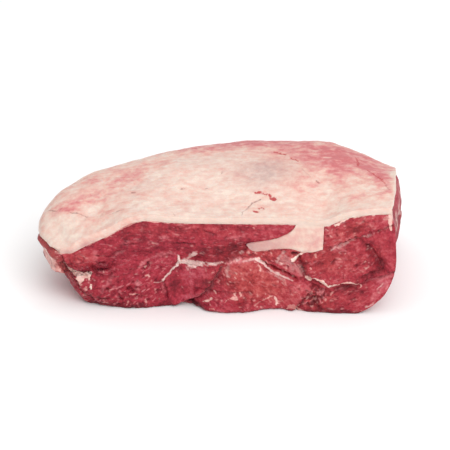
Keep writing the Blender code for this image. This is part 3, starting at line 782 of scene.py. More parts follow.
FRONT_MARKS = (
    # the triangle of fat beside the left end, and flecks under it
    spot(FAT, (66, 265.5, 71, 267.8, 76, 270, 80, 271.8, 86, 272.3, 92, 272.3, 90.8, 276, 88.8, 278, 86,
        278, 82.5, 282, 80, 285, 78.3, 281.5, 76, 277, 73, 272.6, 69, 269), 0.95, 0.4, 0.25),
    strand(FAT, (89.5, 276, 89, 280, 88.7, 283), (0.3, 0.3, 0.15)),
    # silverskin between the lower left muscle and the flap, and along the flap's top
    strand(SILVER, (178, 255, 178.8, 258.5, 179.5, 262), (0.25, 0.5, 0.7), 1, 0.35, 0.22),
    strand(SILVER, (179.5, 261, 175.5, 266.5, 170.5, 271.8, 165.5, 276.8, 161.5, 281), (0.6, 0.36, 0.4,
        0.38, 0.25), 1, 0.35, 0.22),
    strand(SILVER, (162.5, 281.5, 158, 282.5, 154, 282.3), (0.25, 0.2, 0.1), 0.6),
    strand(SILVER, (180, 261.5, 185, 262, 190, 262.8, 197, 263.2, 204, 263.2, 211, 263.8, 218, 263.6, 224,
        262.5), (0.6, 0.5, 0.5, 0.36, 0.2, 0.12, 0.06, 0.02), 0.95, 0.35, 0.25),
    spot(SILVER, (184, 262.5, 192, 262.8, 200, 263.3, 208, 263.8, 213, 264.5, 206, 265.4, 200, 266.2, 195,
        268.4, 190, 267.6, 186.5, 265), 0.75),
    strand(SILVER, (186, 265, 188, 269, 190.5, 273), (0.25, 0.2, 0.08), 0.4, 0, 0.5),
    spot(SILVER, (183, 259.8, 187, 257.2, 189.5, 255, 192, 252.6, 197.3, 253.2, 194.5, 255.8, 190, 258, 186,
        260.2), 0.62, 0.2, 0.5),
    strand(SILVER, (231, 262.5, 227.8, 267, 227, 272, 228, 276.5), (0.3, 0.5, 0.4, 0.2), 0.38, 0, 0.7),
    strand(PALE, (226, 263, 232, 262.4, 237, 261, 241, 261.5, 246, 261, 250, 260, 256, 259.6, 260, 261),
        (0.2, 0.4, 0.9, 0.5, 0.7, 0.8, 0.7, 0.5), 0.85, 0, 0.7),
    strand(SILVER, (236.5, 260.5, 239.5, 259.5), (0.5, 0.4), 0.6),
    strand(SILVER, (243.5, 261, 246, 260.6), (0.35, 0.3), 0.6),
    strand(SILVER, (249.5, 259.8, 254, 259), (0.5, 0.5), 0.55),
    spot(PALE, (236, 258, 241, 257.5, 242, 262, 237, 263), 0.7, 0, 0.6),
    # silverskin under the slit
    strand(SILVER, (255.5, 258.5, 259, 260.5, 262, 262, 266, 266), (0.4, 0.5, 0.55, 0.42), 0.95, 0.25, 0.25),
    strand(SILVER, (265, 266, 270, 269.6, 276, 272.8, 281, 275.6, 287, 278, 292, 280.5), (0.36, 0.38, 0.3,
        0.36, 0.28, 0.15), 0.72, 0.25, 0.28),
    strand(SILVER, (268, 271, 276, 276, 284, 280), (0.2, 0.5, 0.2), 0.35, 0, 0.8),
    strand(FAT, (255.5, 262.3, 258.5, 264.5, 260.3, 267.3, 260.6, 270.5), (0.2, 0.25, 0.25, 0.2), 0.85),
    # tail of fat from the wedge, and the clear skin beside the oval muscle
    spot(FAT, (290.5, 261.5, 290.8, 259, 294, 257.3, 297, 255, 300.5, 252.4, 304, 250.6, 310, 250.4, 313,
        251.8, 308, 252.6, 303, 253.4, 299.5, 255.6, 296, 259.8, 293.5, 261.8), 1, 0.5, 0.3),
    spot(SILVER, (279, 256.5, 285, 254.5, 290, 256.5, 295, 263, 301, 266, 305.5, 272, 303, 275.5, 297,
        272.5, 291, 267, 284, 264.5, 279, 261), 0.22, 0, 1.4),
    strand(SILVER, (285, 251.5, 280.5, 256.5, 277.5, 261.5), (0.3, 0.6, 0.4), 0.4, 0, 0.5),
    strand(SILVER, (276, 260.5, 282, 263.5, 288, 263, 292, 265.5), (0.3, 0.55, 0.5, 0.3), 0.35, 0, 0.6),
    strand(SILVER, (240, 253.5, 242.5, 252), (0.35, 0.3), 0.5, 0, 0.5),
    # band of fat under the oval muscle
    strand(FAT, (305.5, 276.4, 309, 278.4, 313, 278.4, 317, 279.6, 321, 282, 325, 285, 329, 287, 333, 286),
        (0.4, 0.6, 0.65, 0.85, 0.95, 0.75, 0.5, 0.35), 0.98, 0.45, 0.3),
    strand(FAT, (332, 286, 339, 284.4, 345, 283, 351, 283, 357, 284.2, 360.5, 284.6), (0.35, 0.35, 0.3,
        0.35, 0.35, 0.2), 0.95, 0.3, 0.3),
    strand(FAT, (358.5, 283.4, 361.5, 286, 359, 288.4), (0.2, 0.25, 0.15), 0.75),
    # thin skin in the seams of the right
    strand(SILVER, (331, 250.5, 336, 247, 341, 244.8, 346, 243.8, 350, 240.8, 355, 239, 362, 237, 368,
        236.4, 374, 233.8, 380, 231, 387, 228.8, 393, 226.5), (0.2, 0.3, 0.25, 0.2, 0.12, 0.15, 0.08, 0.08,
        0.04, 0.08, 0.08, 0.04), 0.32, 0.15, 0.3),
    spot(PALE, (333, 245.5, 341, 243.5, 345, 247, 338, 250.5, 332, 250), 0.5, 0, 1),
    # the pale strand below paints light on the lit top edge of the lower right muscle
    strand(PALE, (371, 279.5, 380, 276.8, 388, 274.5, 392, 273), (0.2, 0.3, 0.25, 0.1), 0.45, 0, 0.5),
    strand(SILVER, (377, 289.5, 380.5, 286, 383, 283.5), (0.15, 0.25, 0.15), 0.5),
    strand(SILVER, (366, 307.5, 371, 305, 375, 302), (0.2, 0.3, 0.2), 0.5, 0, 0.5),
    strand(FAT, (391, 213, 391.2, 220, 391.4, 225, 391.8, 229.5), (1.1, 1, 0.8, 0.3), 0.95, 0.3, 0.3),
    strand(DARK, (171, 229.5, 175, 230.5), (0.25, 0.15), 0.5),
    strand(DARK, (214, 239.5, 222, 240.5, 230, 240), (0.15, 0.3, 0.15), 0.35),
    strand(DARK, (246, 236.5, 249, 240.5, 246, 243.5), (0.2, 0.4, 0.3), 0.5, 0, 0.5),
    # flecks of fat beside the cap
    spot(FAT, (332.5, 223.5, 335, 220.5, 339, 219.5, 344.5, 217.5, 346, 219.5, 341, 221.5, 338.5, 225, 334,
        225.5), 1, 0, 0.35),
    strand(FAT, (385, 219, 388, 217.5), (0.5, 0.6), 0.6, 0, 0.5),
    # painted highlights: wet glints, and light on lit edges and ridges
    strand(PALE, (377, 281, 384, 278, 391, 275), (0.5, 0.9, 0.6), 0.45, 0, 0.9),
    strand(PALE, (372, 298, 380, 290, 387, 281), (0.5, 0.9, 0.5), 0.35, 0, 0.9),
    strand(PALE, (138.5, 267.5, 143, 263, 149, 258.8), (0.3, 0.7, 0.3), 0.75),
    strand(PALE, (102, 293, 105, 287, 108.5, 281, 113, 275.5), (0.3, 0.7, 0.8, 0.3), 0.4, 0, 0.7),
    strand(PALE, (95.3, 251, 95.8, 256, 96.2, 262), (0.3, 0.5, 0.2), 0.45, 0, 0.5),
    strand(PALE, (116.5, 254.8, 120, 251.8, 124.5, 250.5), (0.3, 0.55, 0.2), 0.5, 0, 0.5),
    strand(PALE, (150, 241.5, 154, 242.5, 158, 244), (0.4, 0.6, 0.3), 0.55, 0, 0.5),
    strand(PALE, (160, 237.5, 164, 237, 168, 239), (0.3, 0.5, 0.3), 0.55, 0, 0.5),
    strand(PALE, (122, 243.5, 132, 241.5, 142, 240.5), (0.3, 0.4, 0.2), 0.25, 0, 0.6),
    strand(PALE, (152, 257.5, 160, 254.5, 170, 253.2, 177, 254.8), (0.2, 0.45, 0.4, 0.2), 0.5, 0, 0.6),
    strand(PALE, (222, 267, 215, 278, 208, 288, 198, 296.5, 188, 301), (0.2, 0.5, 0.7, 0.6, 0.3), 0.45, 0,
        0.6),
    strand(PALE, (163, 283, 164.5, 292), (0.4, 0.4), 0.4, 0, 0.6),
    strand(PALE, (226, 238.5, 235, 237.5, 244, 236.5), (0.3, 0.8, 0.3), 0.35, 0, 0.9),
    strand(PALE, (337, 264, 341, 260, 346, 258), (0.5, 0.9, 0.5), 0.3, 0, 0.9),
    strand(PALE, (268, 229.5, 276, 229, 284, 229.5), (0.3, 0.5, 0.2), 0.3, 0, 0.7),
    # painted glints (highlights) and pale lumps of the lumpy patch and the gristle
    spot(PALE, (135.5, 281.5, 138.5, 280, 141, 282.5, 140, 285.5, 136.5, 285.5), 0.7, 0.3),
    strand(FAT, (130.5, 294.3, 135, 293.8, 140, 294.3), (0.2, 0.35, 0.2), 0.65, 0.2),
    # flecks of fat low in the centre muscle
    spot(FAT, (202.5, 301, 205.5, 299.6, 209, 299.4, 212.5, 297.4, 210.5, 300, 208, 301.8, 204.5, 301.9),
        0.95, 0.2, 0.3),
    strand(FAT, (225, 302.5, 228, 299.5, 231.5, 298.3, 235, 295.5), (0.12, 0.25, 0.3, 0.15), 0.85, 0.2, 0.3),
    spot(FAT, (231, 299, 234, 297.4, 237.5, 297, 237.8, 299.6, 235.5, 300.4, 232.5, 300.2), 0.9, 0.2),
    strand(FAT, (262, 300.8, 266.5, 298.5, 271.5, 296.3), (0.2, 0.3, 0.25), 0.9, 0.2),
    strand(FAT, (274.5, 296.5, 276.3, 300, 276.2, 304.5), (0.25, 0.32, 0.2), 0.95, 0.2, 0.3),
    strand(FAT, (285, 308.5, 290, 306, 296, 308.5, 303, 311), (0.3, 0.8, 0.7, 0.3), 0.85, 0, 0.5),
    # dark, shaded or bloody places: painted shade in crevices, folds, pits and under overhangs, and dark red
    # that is partly blood
    strand(DARK, (293, 252.4, 297, 253), (0.6, 0.45), 0.85, -1.5, 0.3),
    strand(BLOOD_AND_PAINTED_SHADE, (272, 266.6, 280, 270.2, 288, 274, 294, 276.8), (0.3, 0.35, 0.35, 0.4), 0.8, 0, 0.3),
    spot(BLOOD_AND_PAINTED_SHADE, (294.5, 276.3, 298.5, 278.5, 299, 282, 296, 282, 294, 279), 0.85, 0, 0.35),
    spot(DARK, (186, 301, 191, 299, 197, 300.5, 203, 305.5, 207, 310, 198, 310, 190, 306), 0.5, 0, 0.6),
    spot(DARK, (185.5, 301.5, 189, 299.3, 195, 300, 200, 303, 194, 304.5, 188, 304), 0.95, 0, 0.35),
    spot(DARK, (205, 287.8, 213, 289, 213.5, 292, 205, 292.5), 0.45, 0, 0.5),
    spot(BLOOD_AND_PAINTED_SHADE, (236.5, 301, 242, 300, 243.5, 307, 238, 308.5), 0.5, 0, 0.8),
    spot(DARK, (311, 311, 320, 311.3, 333, 310.8, 345, 313, 352, 316, 330, 318, 311, 316), 0.5, 0, 0.8),
    spot(BLOOD_AND_PAINTED_SHADE, (106, 286.5, 109.5, 287.5, 109, 291, 106, 290), 0.7, 0, 0.5),
    strand(BLOOD_AND_PAINTED_SHADE, (88, 264, 91.5, 265.5, 92.5, 269), (0.4, 0.7, 0.5), 0.6, 0, 0.5),
    strand(DARK, (75, 255.5, 79.5, 254.3, 83.5, 257.5, 82.5, 262, 78, 263.8, 74.5, 261, 75, 255.5), (0.15,
        0.3, 0.15, 0.25, 0.3, 0.3, 0.15), 0.4, -0.3, 0.35),
    strand(DARK, (77.5, 258.2, 79.5, 259.5), (0.3, 0.3), 0.5),
)

# Small pits that hold a shadow, darkened further with painted shade, as (column, row, radius, depth)
PITS = (
    (93, 266, 0.6, 0.7), (101, 263, 0.5, 0.6), (97, 274, 0.6, 0.7), (104, 269.5, 0.6, 0.7),
    (111, 274, 0.5, 0.6), (107.5, 288.5, 0.7, 0.9), (119, 294, 0.5, 0.7), (122, 299, 0.5, 0.7),
    (129, 288, 0.5, 0.7), (132.5, 282, 0.6, 0.7), (144, 289, 0.5, 0.5), (146, 286.5, 0.5, 0.5),
    (126, 293.5, 0.5, 0.5), (114, 292, 0.5, 0.6), (143, 276.5, 0.4, 0.4), (131, 302, 0.5, 0.5),
    (141, 297, 0.5, 0.6), (110, 282, 0.4, 0.4), (307, 291, 0.6, 0.8), (312, 287, 0.6, 0.8),
    (315.5, 289, 0.6, 0.8), (313.5, 296.5, 0.6, 0.9), (317.5, 299.5, 0.6, 0.9), (321.5, 297, 0.6, 0.8),
    (326, 289.5, 0.6, 0.8), (330, 291.5, 0.5, 0.7), (303, 299.5, 0.6, 0.8), (318.5, 306, 0.6, 0.8),
    (309.5, 295.5, 0.5, 0.7), (325, 304.5, 0.5, 0.6), (307.5, 303, 0.5, 0.7), (335, 296, 0.5, 0.5),
    (337, 223, 0.45, 0.8), (342, 221.3, 0.4, 0.7), (345.5, 242.3, 0.45, 0.7), (349.5, 239.6, 0.45, 0.7),
    (355.5, 236.8, 0.4, 0.6), (327.5, 236, 0.4, 0.6), (330.5, 247.5, 0.5, 0.7), (325.5, 228.5, 0.4, 0.6),
    (302, 267, 0.6, 0.6), (274, 266.8, 0.6, 0.7), (172, 286, 0.5, 0.2), (188, 303, 0.9, 1.2),
    (193, 304.5, 0.9, 1.2), (199, 307.5, 0.8, 1), (210, 290.5, 0.6, 0.8), (240, 304, 0.6, 0.5),
    (263, 252.5, 0.4, 0.5), (251, 255, 0.4, 0.5), (244, 256.5, 0.4, 0.5), (271, 252, 0.4, 0.4),
    (333, 229, 0.4, 0.4), (336, 234, 0.4, 0.4),
)


def short_strands(tissue: Tissue, rows: Points) -> tuple[Mark, ...]:
    """Straight marks, each from a row of its two ends, its two half widths and its looks."""
    return tuple(strand(tissue, row[:4], row[4:6], *row[6:]) for row in rows)


@dataclass(frozen=True)
class Features:
    """What shows on the cut front, as given in pixels of the photo or as settled on the meat.

    Attributes:
        seams: its seams, the one along the bead at its left end first.
        marks: its strands, flecks and patches, among them painted glints and painted shade.
        pits: its single pits, as (first coordinate, second coordinate, radius, depth).
        tones: where its meat is paler or darker, by its own tone, by painted shade and by painted light.
        warmths: where it turns orange red.
    """

    seams: tuple[Seam, ...]
    marks: tuple[Mark, ...]
    pits: Points
    tones: tuple[Shade, ...]
    warmths: tuple[Shade, ...]

    def settled(self, place: Callable[[Points], Points]) -> "Features":
        """The same features, with their points moved.

        Args:
            place: gives the new places of some points.

        Returns:
            The moved features.
        """
        def moved(items: tuple[Shade, ...]) -> tuple[Shade, ...]:
            """Shades with their middles moved."""
            middles = place(tuple((shade.u, shade.v) for shade in items))
            return tuple(replace(shade, u=u, v=v) for shade, (u, v) in zip(items, middles))

        pit_middles = place(tuple(pit[:2] for pit in self.pits))
        return Features(
            tuple(item.on(place(item.line.points)) for item in self.seams),
            tuple(mark.on(place(mark.line.points)) for mark in self.marks),
            tuple(middle + pit[2:] for middle, pit in zip(pit_middles, self.pits)),
            moved(self.tones), moved(self.warmths))


PICKED = Features(
    FRONT_SEAMS, FRONT_MARKS + short_strands(FAT, FLECKS) + short_strands(PALE, GLINTS), PITS, TONES_AND_PAINTED_LIGHT,
    WARM_SHADES)

RIGHT_SEAMS = (
    seam((-4, 35.5, 12, 31.5, 30, 27, 48, 22, 62, 20), 0.5, 0.8, -0.4, 5, 0.3),
    seam((-4, 18, 14, 16, 30, 10, 40, 1), 0.9, 0.9, 0.8, 7, 0.4),
    seam((30, 10, 44, 15, 54, 24), 0.9, 0.8, -1, 6, 0.4),
)

# Borders that two muscles of the front share, then the muscles, all as (x, z)
UNDER_UPPER = (
    (-57, 17.5), (-50.7, 16.5), (-44.5, 15.6), (-39.5, 15.1), (-32.9, 16.6), (-27.9, 19.6), (-23.6, 22.2),
    (-19.8, 23.3))
FLAP_LEFT = ((-16.3, 19.9), (-20.7, 13.5), (-23.4, 9.9), (-21, 5), (-20.9, -5))
FLAP_RIGHT = ((-3.5, 14.2), (-6.5, 9.1), (-9, 5.5), (-13, 1.8))
SLIT = ((15.9, 22), (19.3, 18.8), (25.8, 15.8), (30, 12.4))
CENTRE_RIGHT = ((33.2, 7.2), (29.6, 2.7), (29.4, -5))
OVAL_RIGHT = ((54.6, 30.5), (58.9, 25.4), (61.6, 20.6), (58, 16.8))
UNDER_RIGHT = ((60.3, 15.8), (69, 19), (78, 20))
OVER_RIGHT = ((56.3, 33.7), (66, 36.6), (78, 39))
MUSCLES = (
    muscle("upper", (
        (-68, 46), (-68, 20), *UNDER_UPPER, (-15.4, 20.6), (-9.8, 19.4), (-2.1, 20.5), (3.6, 22.4),
        (7.4, 25.5), (9.7, 28.5), (15.4, 29.6), (22.6, 31.3), (29.8, 35.7), (31, 46)),
        0.46, -3, 0.2, 1.5, 0.45),
    muscle("lower left", (
        (-62, 18), *UNDER_UPPER, (-15.6, 21.3), *FLAP_LEFT, (-62, -5)), 0.43, 32, 0.5, 1.8, 0.7),
    muscle("flap", (
        (-15.4, 20.4), (-9.8, 19.4), (-2.1, 20), (-1, 19), *FLAP_RIGHT, (-17, -1), (-18, -5),
        *FLAP_LEFT[::-1]), 0.44, 62, 0.5, 1.6, 0.1),
    muscle("centre", (
        (-2.1, 20.2), (4, 22.2), (9.7, 23.8), (13, 23.2), *SLIT, (34, 10), *CENTRE_RIGHT, (-18, -5),
        *FLAP_RIGHT[::-1]), 0.58, -35, 0.3, 1.2, 0.4),
    muscle("under the wedge", (
        (5, 23), (7.4, 25.5), (12.5, 26.1), (20.3, 26.3), (26.5, 26.6), (30, 25.7), (28.9, 20), (31, 16),
        *SLIT[::-1], (11, 24.4)), 0.54, -30, 0.2, 1, 0.8),
    muscle("oval", (
        (30.5, 25.7), (35, 25.6), (39, 26.7), (44, 28.3), (47.4, 29.6), (52, 31.9), *OVAL_RIGHT,
        (54.6, 13.6), (43.4, 11.9), (37.4, 12.7), (32.4, 15), (29.4, 20), (29.5, 24)),
        0.50, 20, 1, 2.2, 0.5),
    muscle("upper right", (
        (39.2, 25), (47.4, 29.6), *OVER_RIGHT, (78, 47), (39.2, 47)), 0.54, 28, 0.4, 1.2, 0.45),
    muscle("right", (
        (52, 31.9), *OVER_RIGHT, *UNDER_RIGHT[::-1], *OVAL_RIGHT[::-1]), 0.47, -58, 0.6, 1.8, 0.1),
    muscle("lower right", (
        (31, 14), (37.4, 12.7), (43.4, 11.9), (54.6, 13.6), *UNDER_RIGHT, (78, -5), *CENTRE_RIGHT[::-1],
        (37, 11)), 0.46, 24, 0.5, 1.5, 0.35),
)

# Pits and flecks strewn over the muscles; the finish darkens the pits with painted shade
SCATTERED_PITS = (
    Scatter("upper", 70, (0.5, 1.8), (0.15, 0.35), (0.25, 0.6)),
    Scatter("lower left", 75, (0.3, 1.4), (0.2, 0.4), (0.3, 0.7)),
    Scatter("flap", 8, (0.3, 1.0), (0.15, 0.3), (0.2, 0.4)),
    Scatter("centre", 45, (0.3, 1.2), (0.2, 0.35), (0.25, 0.6)),
    Scatter("under the wedge", 16, (0.3, 1.0), (0.2, 0.4), (0.3, 0.8)),
    Scatter("oval", 40, (0.3, 0.9), (0.2, 0.35), (0.25, 0.6)),
    Scatter("upper right", 26, (0.3, 1.2), (0.2, 0.4), (0.3, 0.7)),
    Scatter("right", 10, (0.4, 1.4), (0.15, 0.3), (0.2, 0.4)),
    Scatter("lower right", 40, (0.4, 1.4), (0.15, 0.35), (0.25, 0.6)),
)
SCATTERED_FLECKS = (
    Scatter("upper", 22, (0.4, 1.2), (0.15, 0.3), (0.25, 0.55)),
    Scatter("lower left", 50, (0.25, 0.6), (0.18, 0.32), (0.35, 0.8)),
    Scatter("flap", 4, (0.2, 0.5), (0.15, 0.25), (0.3, 0.5)),
    Scatter("centre", 52, (0.25, 0.6), (0.2, 0.3), (0.35, 0.8)),
    Scatter("under the wedge", 18, (0.25, 0.7), (0.2, 0.4), (0.35, 0.8)),
    Scatter("oval", 26, (0.25, 0.5), (0.2, 0.35), (0.25, 0.6)),
    Scatter("upper right", 16, (0.3, 0.7), (0.2, 0.3), (0.3, 0.6)),
    Scatter("lower right", 14, (0.4, 1.2), (0.15, 0.3), (0.25, 0.5)),
)

# Where the front stands out a little further, or less far, than its seams alone would make it
FRONT_SWELLINGS = shades(
    (-7.5, 0.5, 5.5, 3.5, 0, 2), (18, 0, 8, 3, 0, 0.8), (-27, 0, 9, 3, 0, 0.9),
)
GRISTLE = outline(30.3, 3.2, 31.4, 6.8, 34, 9.2, 37.5, 9.7, 40.5, 9.3, 40.2, 6.4, 37.5, 3, 33.7, 2.2)
# A lumpy patch of the front, where painted glints are stronger
LUMPY_GLINT_PATCH = outline(-42.5, 9, -40, 11, -36, 11.5, -31, 11.5, -27, 8, -28, 3.6, -33, 2.6, -37, 5)

# The membrane on the right end, as (y, z), and where it shows most
END_MEMBRANE = outline(9, 41, 20, 42.5, 34, 41, 39, 33, 33, 27.5, 22, 25.5, 13, 28, 8, 34)
END_MEMBRANE_MIDDLE = Shade(20, 37.5, 12, 5, -25, 4)


# Making pieces

def select_nothing() -> None:
    """Leave object mode with nothing selected."""
    if bpy.context.object and bpy.context.object.mode != "OBJECT":
        bpy.ops.object.mode_set(mode="OBJECT")
    bpy.ops.object.select_all(action="DESELECT")


def coordinates(piece: bpy.types.Object) -> Array:
    """Places of a mesh's vertices, in metres."""
    flat = np.zeros(len(piece.data.vertices) * 3)
    piece.data.vertices.foreach_get("co", flat)
    return flat.reshape(-1, 3)


def move_vertices(piece: bpy.types.Object, points: Array) -> None:
    """Put a mesh's vertices at new places, in metres."""
    piece.data.vertices.foreach_set("co", np.asarray(points, np.float32).ravel())
    piece.data.update()


def select_parts(mesh: bpy.types.Mesh, edges: Array | None = None, faces: Array | None = None) -> None:
    """Select some edges or faces of a mesh and nothing else of it."""
    for parts in (mesh.vertices, mesh.edges, mesh.polygons):
        parts.foreach_set("select", np.zeros(len(parts), bool))
    if edges is not None:
        mesh.edges.foreach_set("select", edges)
    if faces is not None:
        mesh.polygons.foreach_set("select", faces)


def largest_cut(count: int) -> int:
    """The largest number of parts, at most 100, that divides count evenly."""
    return max(parts for parts in range(1, 101) if count % parts == 0)


def gridded_block(
        name: str, cells: tuple[int, int, int], finer: tuple[int, float] | None = None) -> bpy.types.Object:
    """Add a unit block and cut its faces into a grid in edit mode.

    Args:
        name: the piece's name.
        cells: how many cells the grid has along, across and up.
        finer: axis and place of the one face whose cells are each cut in four.

    Returns:
        The block, whose vertices go from 0 to 1 each way.
    """
    select_nothing()
    bpy.ops.mesh.primitive_cube_add(size=1.0, location=(0.5, 0.5, 0.5))
    piece = bpy.context.object
    piece.name = piece.data.name = name
    bpy.ops.object.transform_apply(location=True, rotation=True, scale=True)
    bpy.ops.object.mode_set(mode="EDIT")
    bpy.ops.mesh.select_mode(type="EDGE")
    bpy.ops.object.mode_set(mode="OBJECT")
    for axis, count in enumerate(cells):
        left = count
        while left > 1:
            parts = largest_cut(left)
            ends = np.zeros(len(piece.data.edges) * 2, int)
            piece.data.edges.foreach_get("vertices", ends)
            places = coordinates(piece)[ends.reshape(-1, 2)]
            select_parts(piece.data, edges=np.abs(places[:, 0, axis] - places[:, 1, axis]) > 1e-6)
            bpy.ops.object.mode_set(mode="EDIT")
            bpy.ops.mesh.subdivide(number_cuts=parts - 1)
            bpy.ops.object.mode_set(mode="OBJECT")
            left //= parts
    if finer:
        axis, place = finer
        middles = np.zeros(len(piece.data.polygons) * 3)
        piece.data.polygons.foreach_get("center", middles)
        bpy.ops.object.mode_set(mode="EDIT")
        bpy.ops.mesh.select_mode(type="FACE")
        bpy.ops.object.mode_set(mode="OBJECT")
        select_parts(piece.data, faces=np.abs(middles.reshape(-1, 3)[:, axis] - place) < 1e-6)
        bpy.ops.object.mode_set(mode="EDIT")
        bpy.ops.mesh.subdivide(number_cuts=1)
        bpy.ops.object.mode_set(mode="OBJECT")
    return piece


def cut_or_join(target: bpy.types.Object, tool: bpy.types.Object, operation: str) -> None:
    """Join a closed piece to another, or cut it away, and remove the tool.

    Args:
        target: the piece that stays.
        tool: the piece that is joined to it or cut from it.
        operation: UNION or DIFFERENCE.
    """
    select_nothing()
    modifier = target.modifiers.new("cut or join", "BOOLEAN")
    modifier.operation = operation
    modifier.solver = "EXACT"
    modifier.object = tool
    bpy.context.view_layer.objects.active = target
    target.select_set(True)
    bpy.ops.object.modifier_apply(modifier=modifier.name)
    bpy.data.objects.remove(tool, do_unlink=True)


def paint(piece: bpy.types.Object, layers: dict[str, Array]) -> None:
    """Store numbers or vectors on a mesh's vertices for its finish to read.

    Args:
        piece: the piece.
        layers: for each attribute's name, a number or three for each vertex.
    """
    for name, values in layers.items():
        single = values.ndim == 1
        attribute = piece.data.attributes.new(name, "FLOAT" if single else "FLOAT_VECTOR", "POINT")
        attribute.data.foreach_set("value" if single else "vector", np.asarray(values, np.float32).ravel())


def keep_inside(points: Array, low: Array, high: Array) -> Array:
    """Hold points, in metres, just inside a box."""
    margin = 0.01 * MILLIMETRE
    return np.clip(points, low + margin, high - margin)


def smooth_faces(piece: bpy.types.Object, crease: float = 180.0) -> None:
    """Shade a piece smoothly, apart from edges that turn more than crease degrees."""
    select_nothing()
    piece.select_set(True)
    bpy.context.view_layer.objects.active = piece
    bpy.ops.object.shade_smooth_by_angle(angle=math.radians(crease))


# Finishes

def linear(colour: str) -> tuple[float, float, float, float]:
    """Turn an sRGB hex colour, such as "#a03d48", to the linear values that shaders take."""
    parts = [int(colour[i:i + 2], 16) / 255 for i in (1, 3, 5)]
    red, green, blue = (c / 12.92 if c <= 0.04045 else ((c + 0.055) / 1.055) ** 2.4 for c in parts)
    return red, green, blue, 1.0


@dataclass
class ShaderTree:
    """The node tree of a new material."""

    name: str
    material: bpy.types.Material = field(init=False)
    shader: bpy.types.Node = field(init=False)

    def __post_init__(self) -> None:
        """Make the material with its surface shader."""
        self.material = bpy.data.materials.new(self.name)
        self.material.use_nodes = True
        self.shader = self.material.node_tree.nodes["Principled BSDF"]

    def add(self, kind: str, inputs: dict, ramp: tuple = (), output: int | str = 0, **settings: object):
        """Add a node with its settings and links.

        Args:
            kind: the node's type, without the words Shader and Node before it.
            inputs: for each input, by name or number, the value it has or the socket that feeds it.
            ramp: for a colour ramp, its (place, sRGB hex colour) stops.
            output: name or number of the socket that is wanted.
            settings: the node's own settings.

        Returns:
            The node's output socket.
        """
        node = self.material.node_tree.nodes.new("ShaderNode" + kind)
        for name, value in settings.items():
            setattr(node, name, value)
        for name, value in inputs.items():
            if isinstance(value, bpy.types.NodeSocket):
                self.material.node_tree.links.new(value, node.inputs[name])
            else:
                node.inputs[name].default_value = value
        for number, (place, colour) in enumerate(ramp):
            stops = node.color_ramp.elements
            stop = stops[number] if number < 2 else stops.new(place)
            stop.position = place
            stop.color = linear(colour)
        return node.outputs[output]

    def set_surface(self, values: dict) -> bpy.types.Material:
        """Give the surface shader its values and links, and hand over the finished material."""
        for name, value in values.items():
            if isinstance(value, bpy.types.NodeSocket):
                self.material.node_tree.links.new(value, self.shader.inputs[name])
            else:
                self.shader.inputs[name].default_value = value
        return self.material


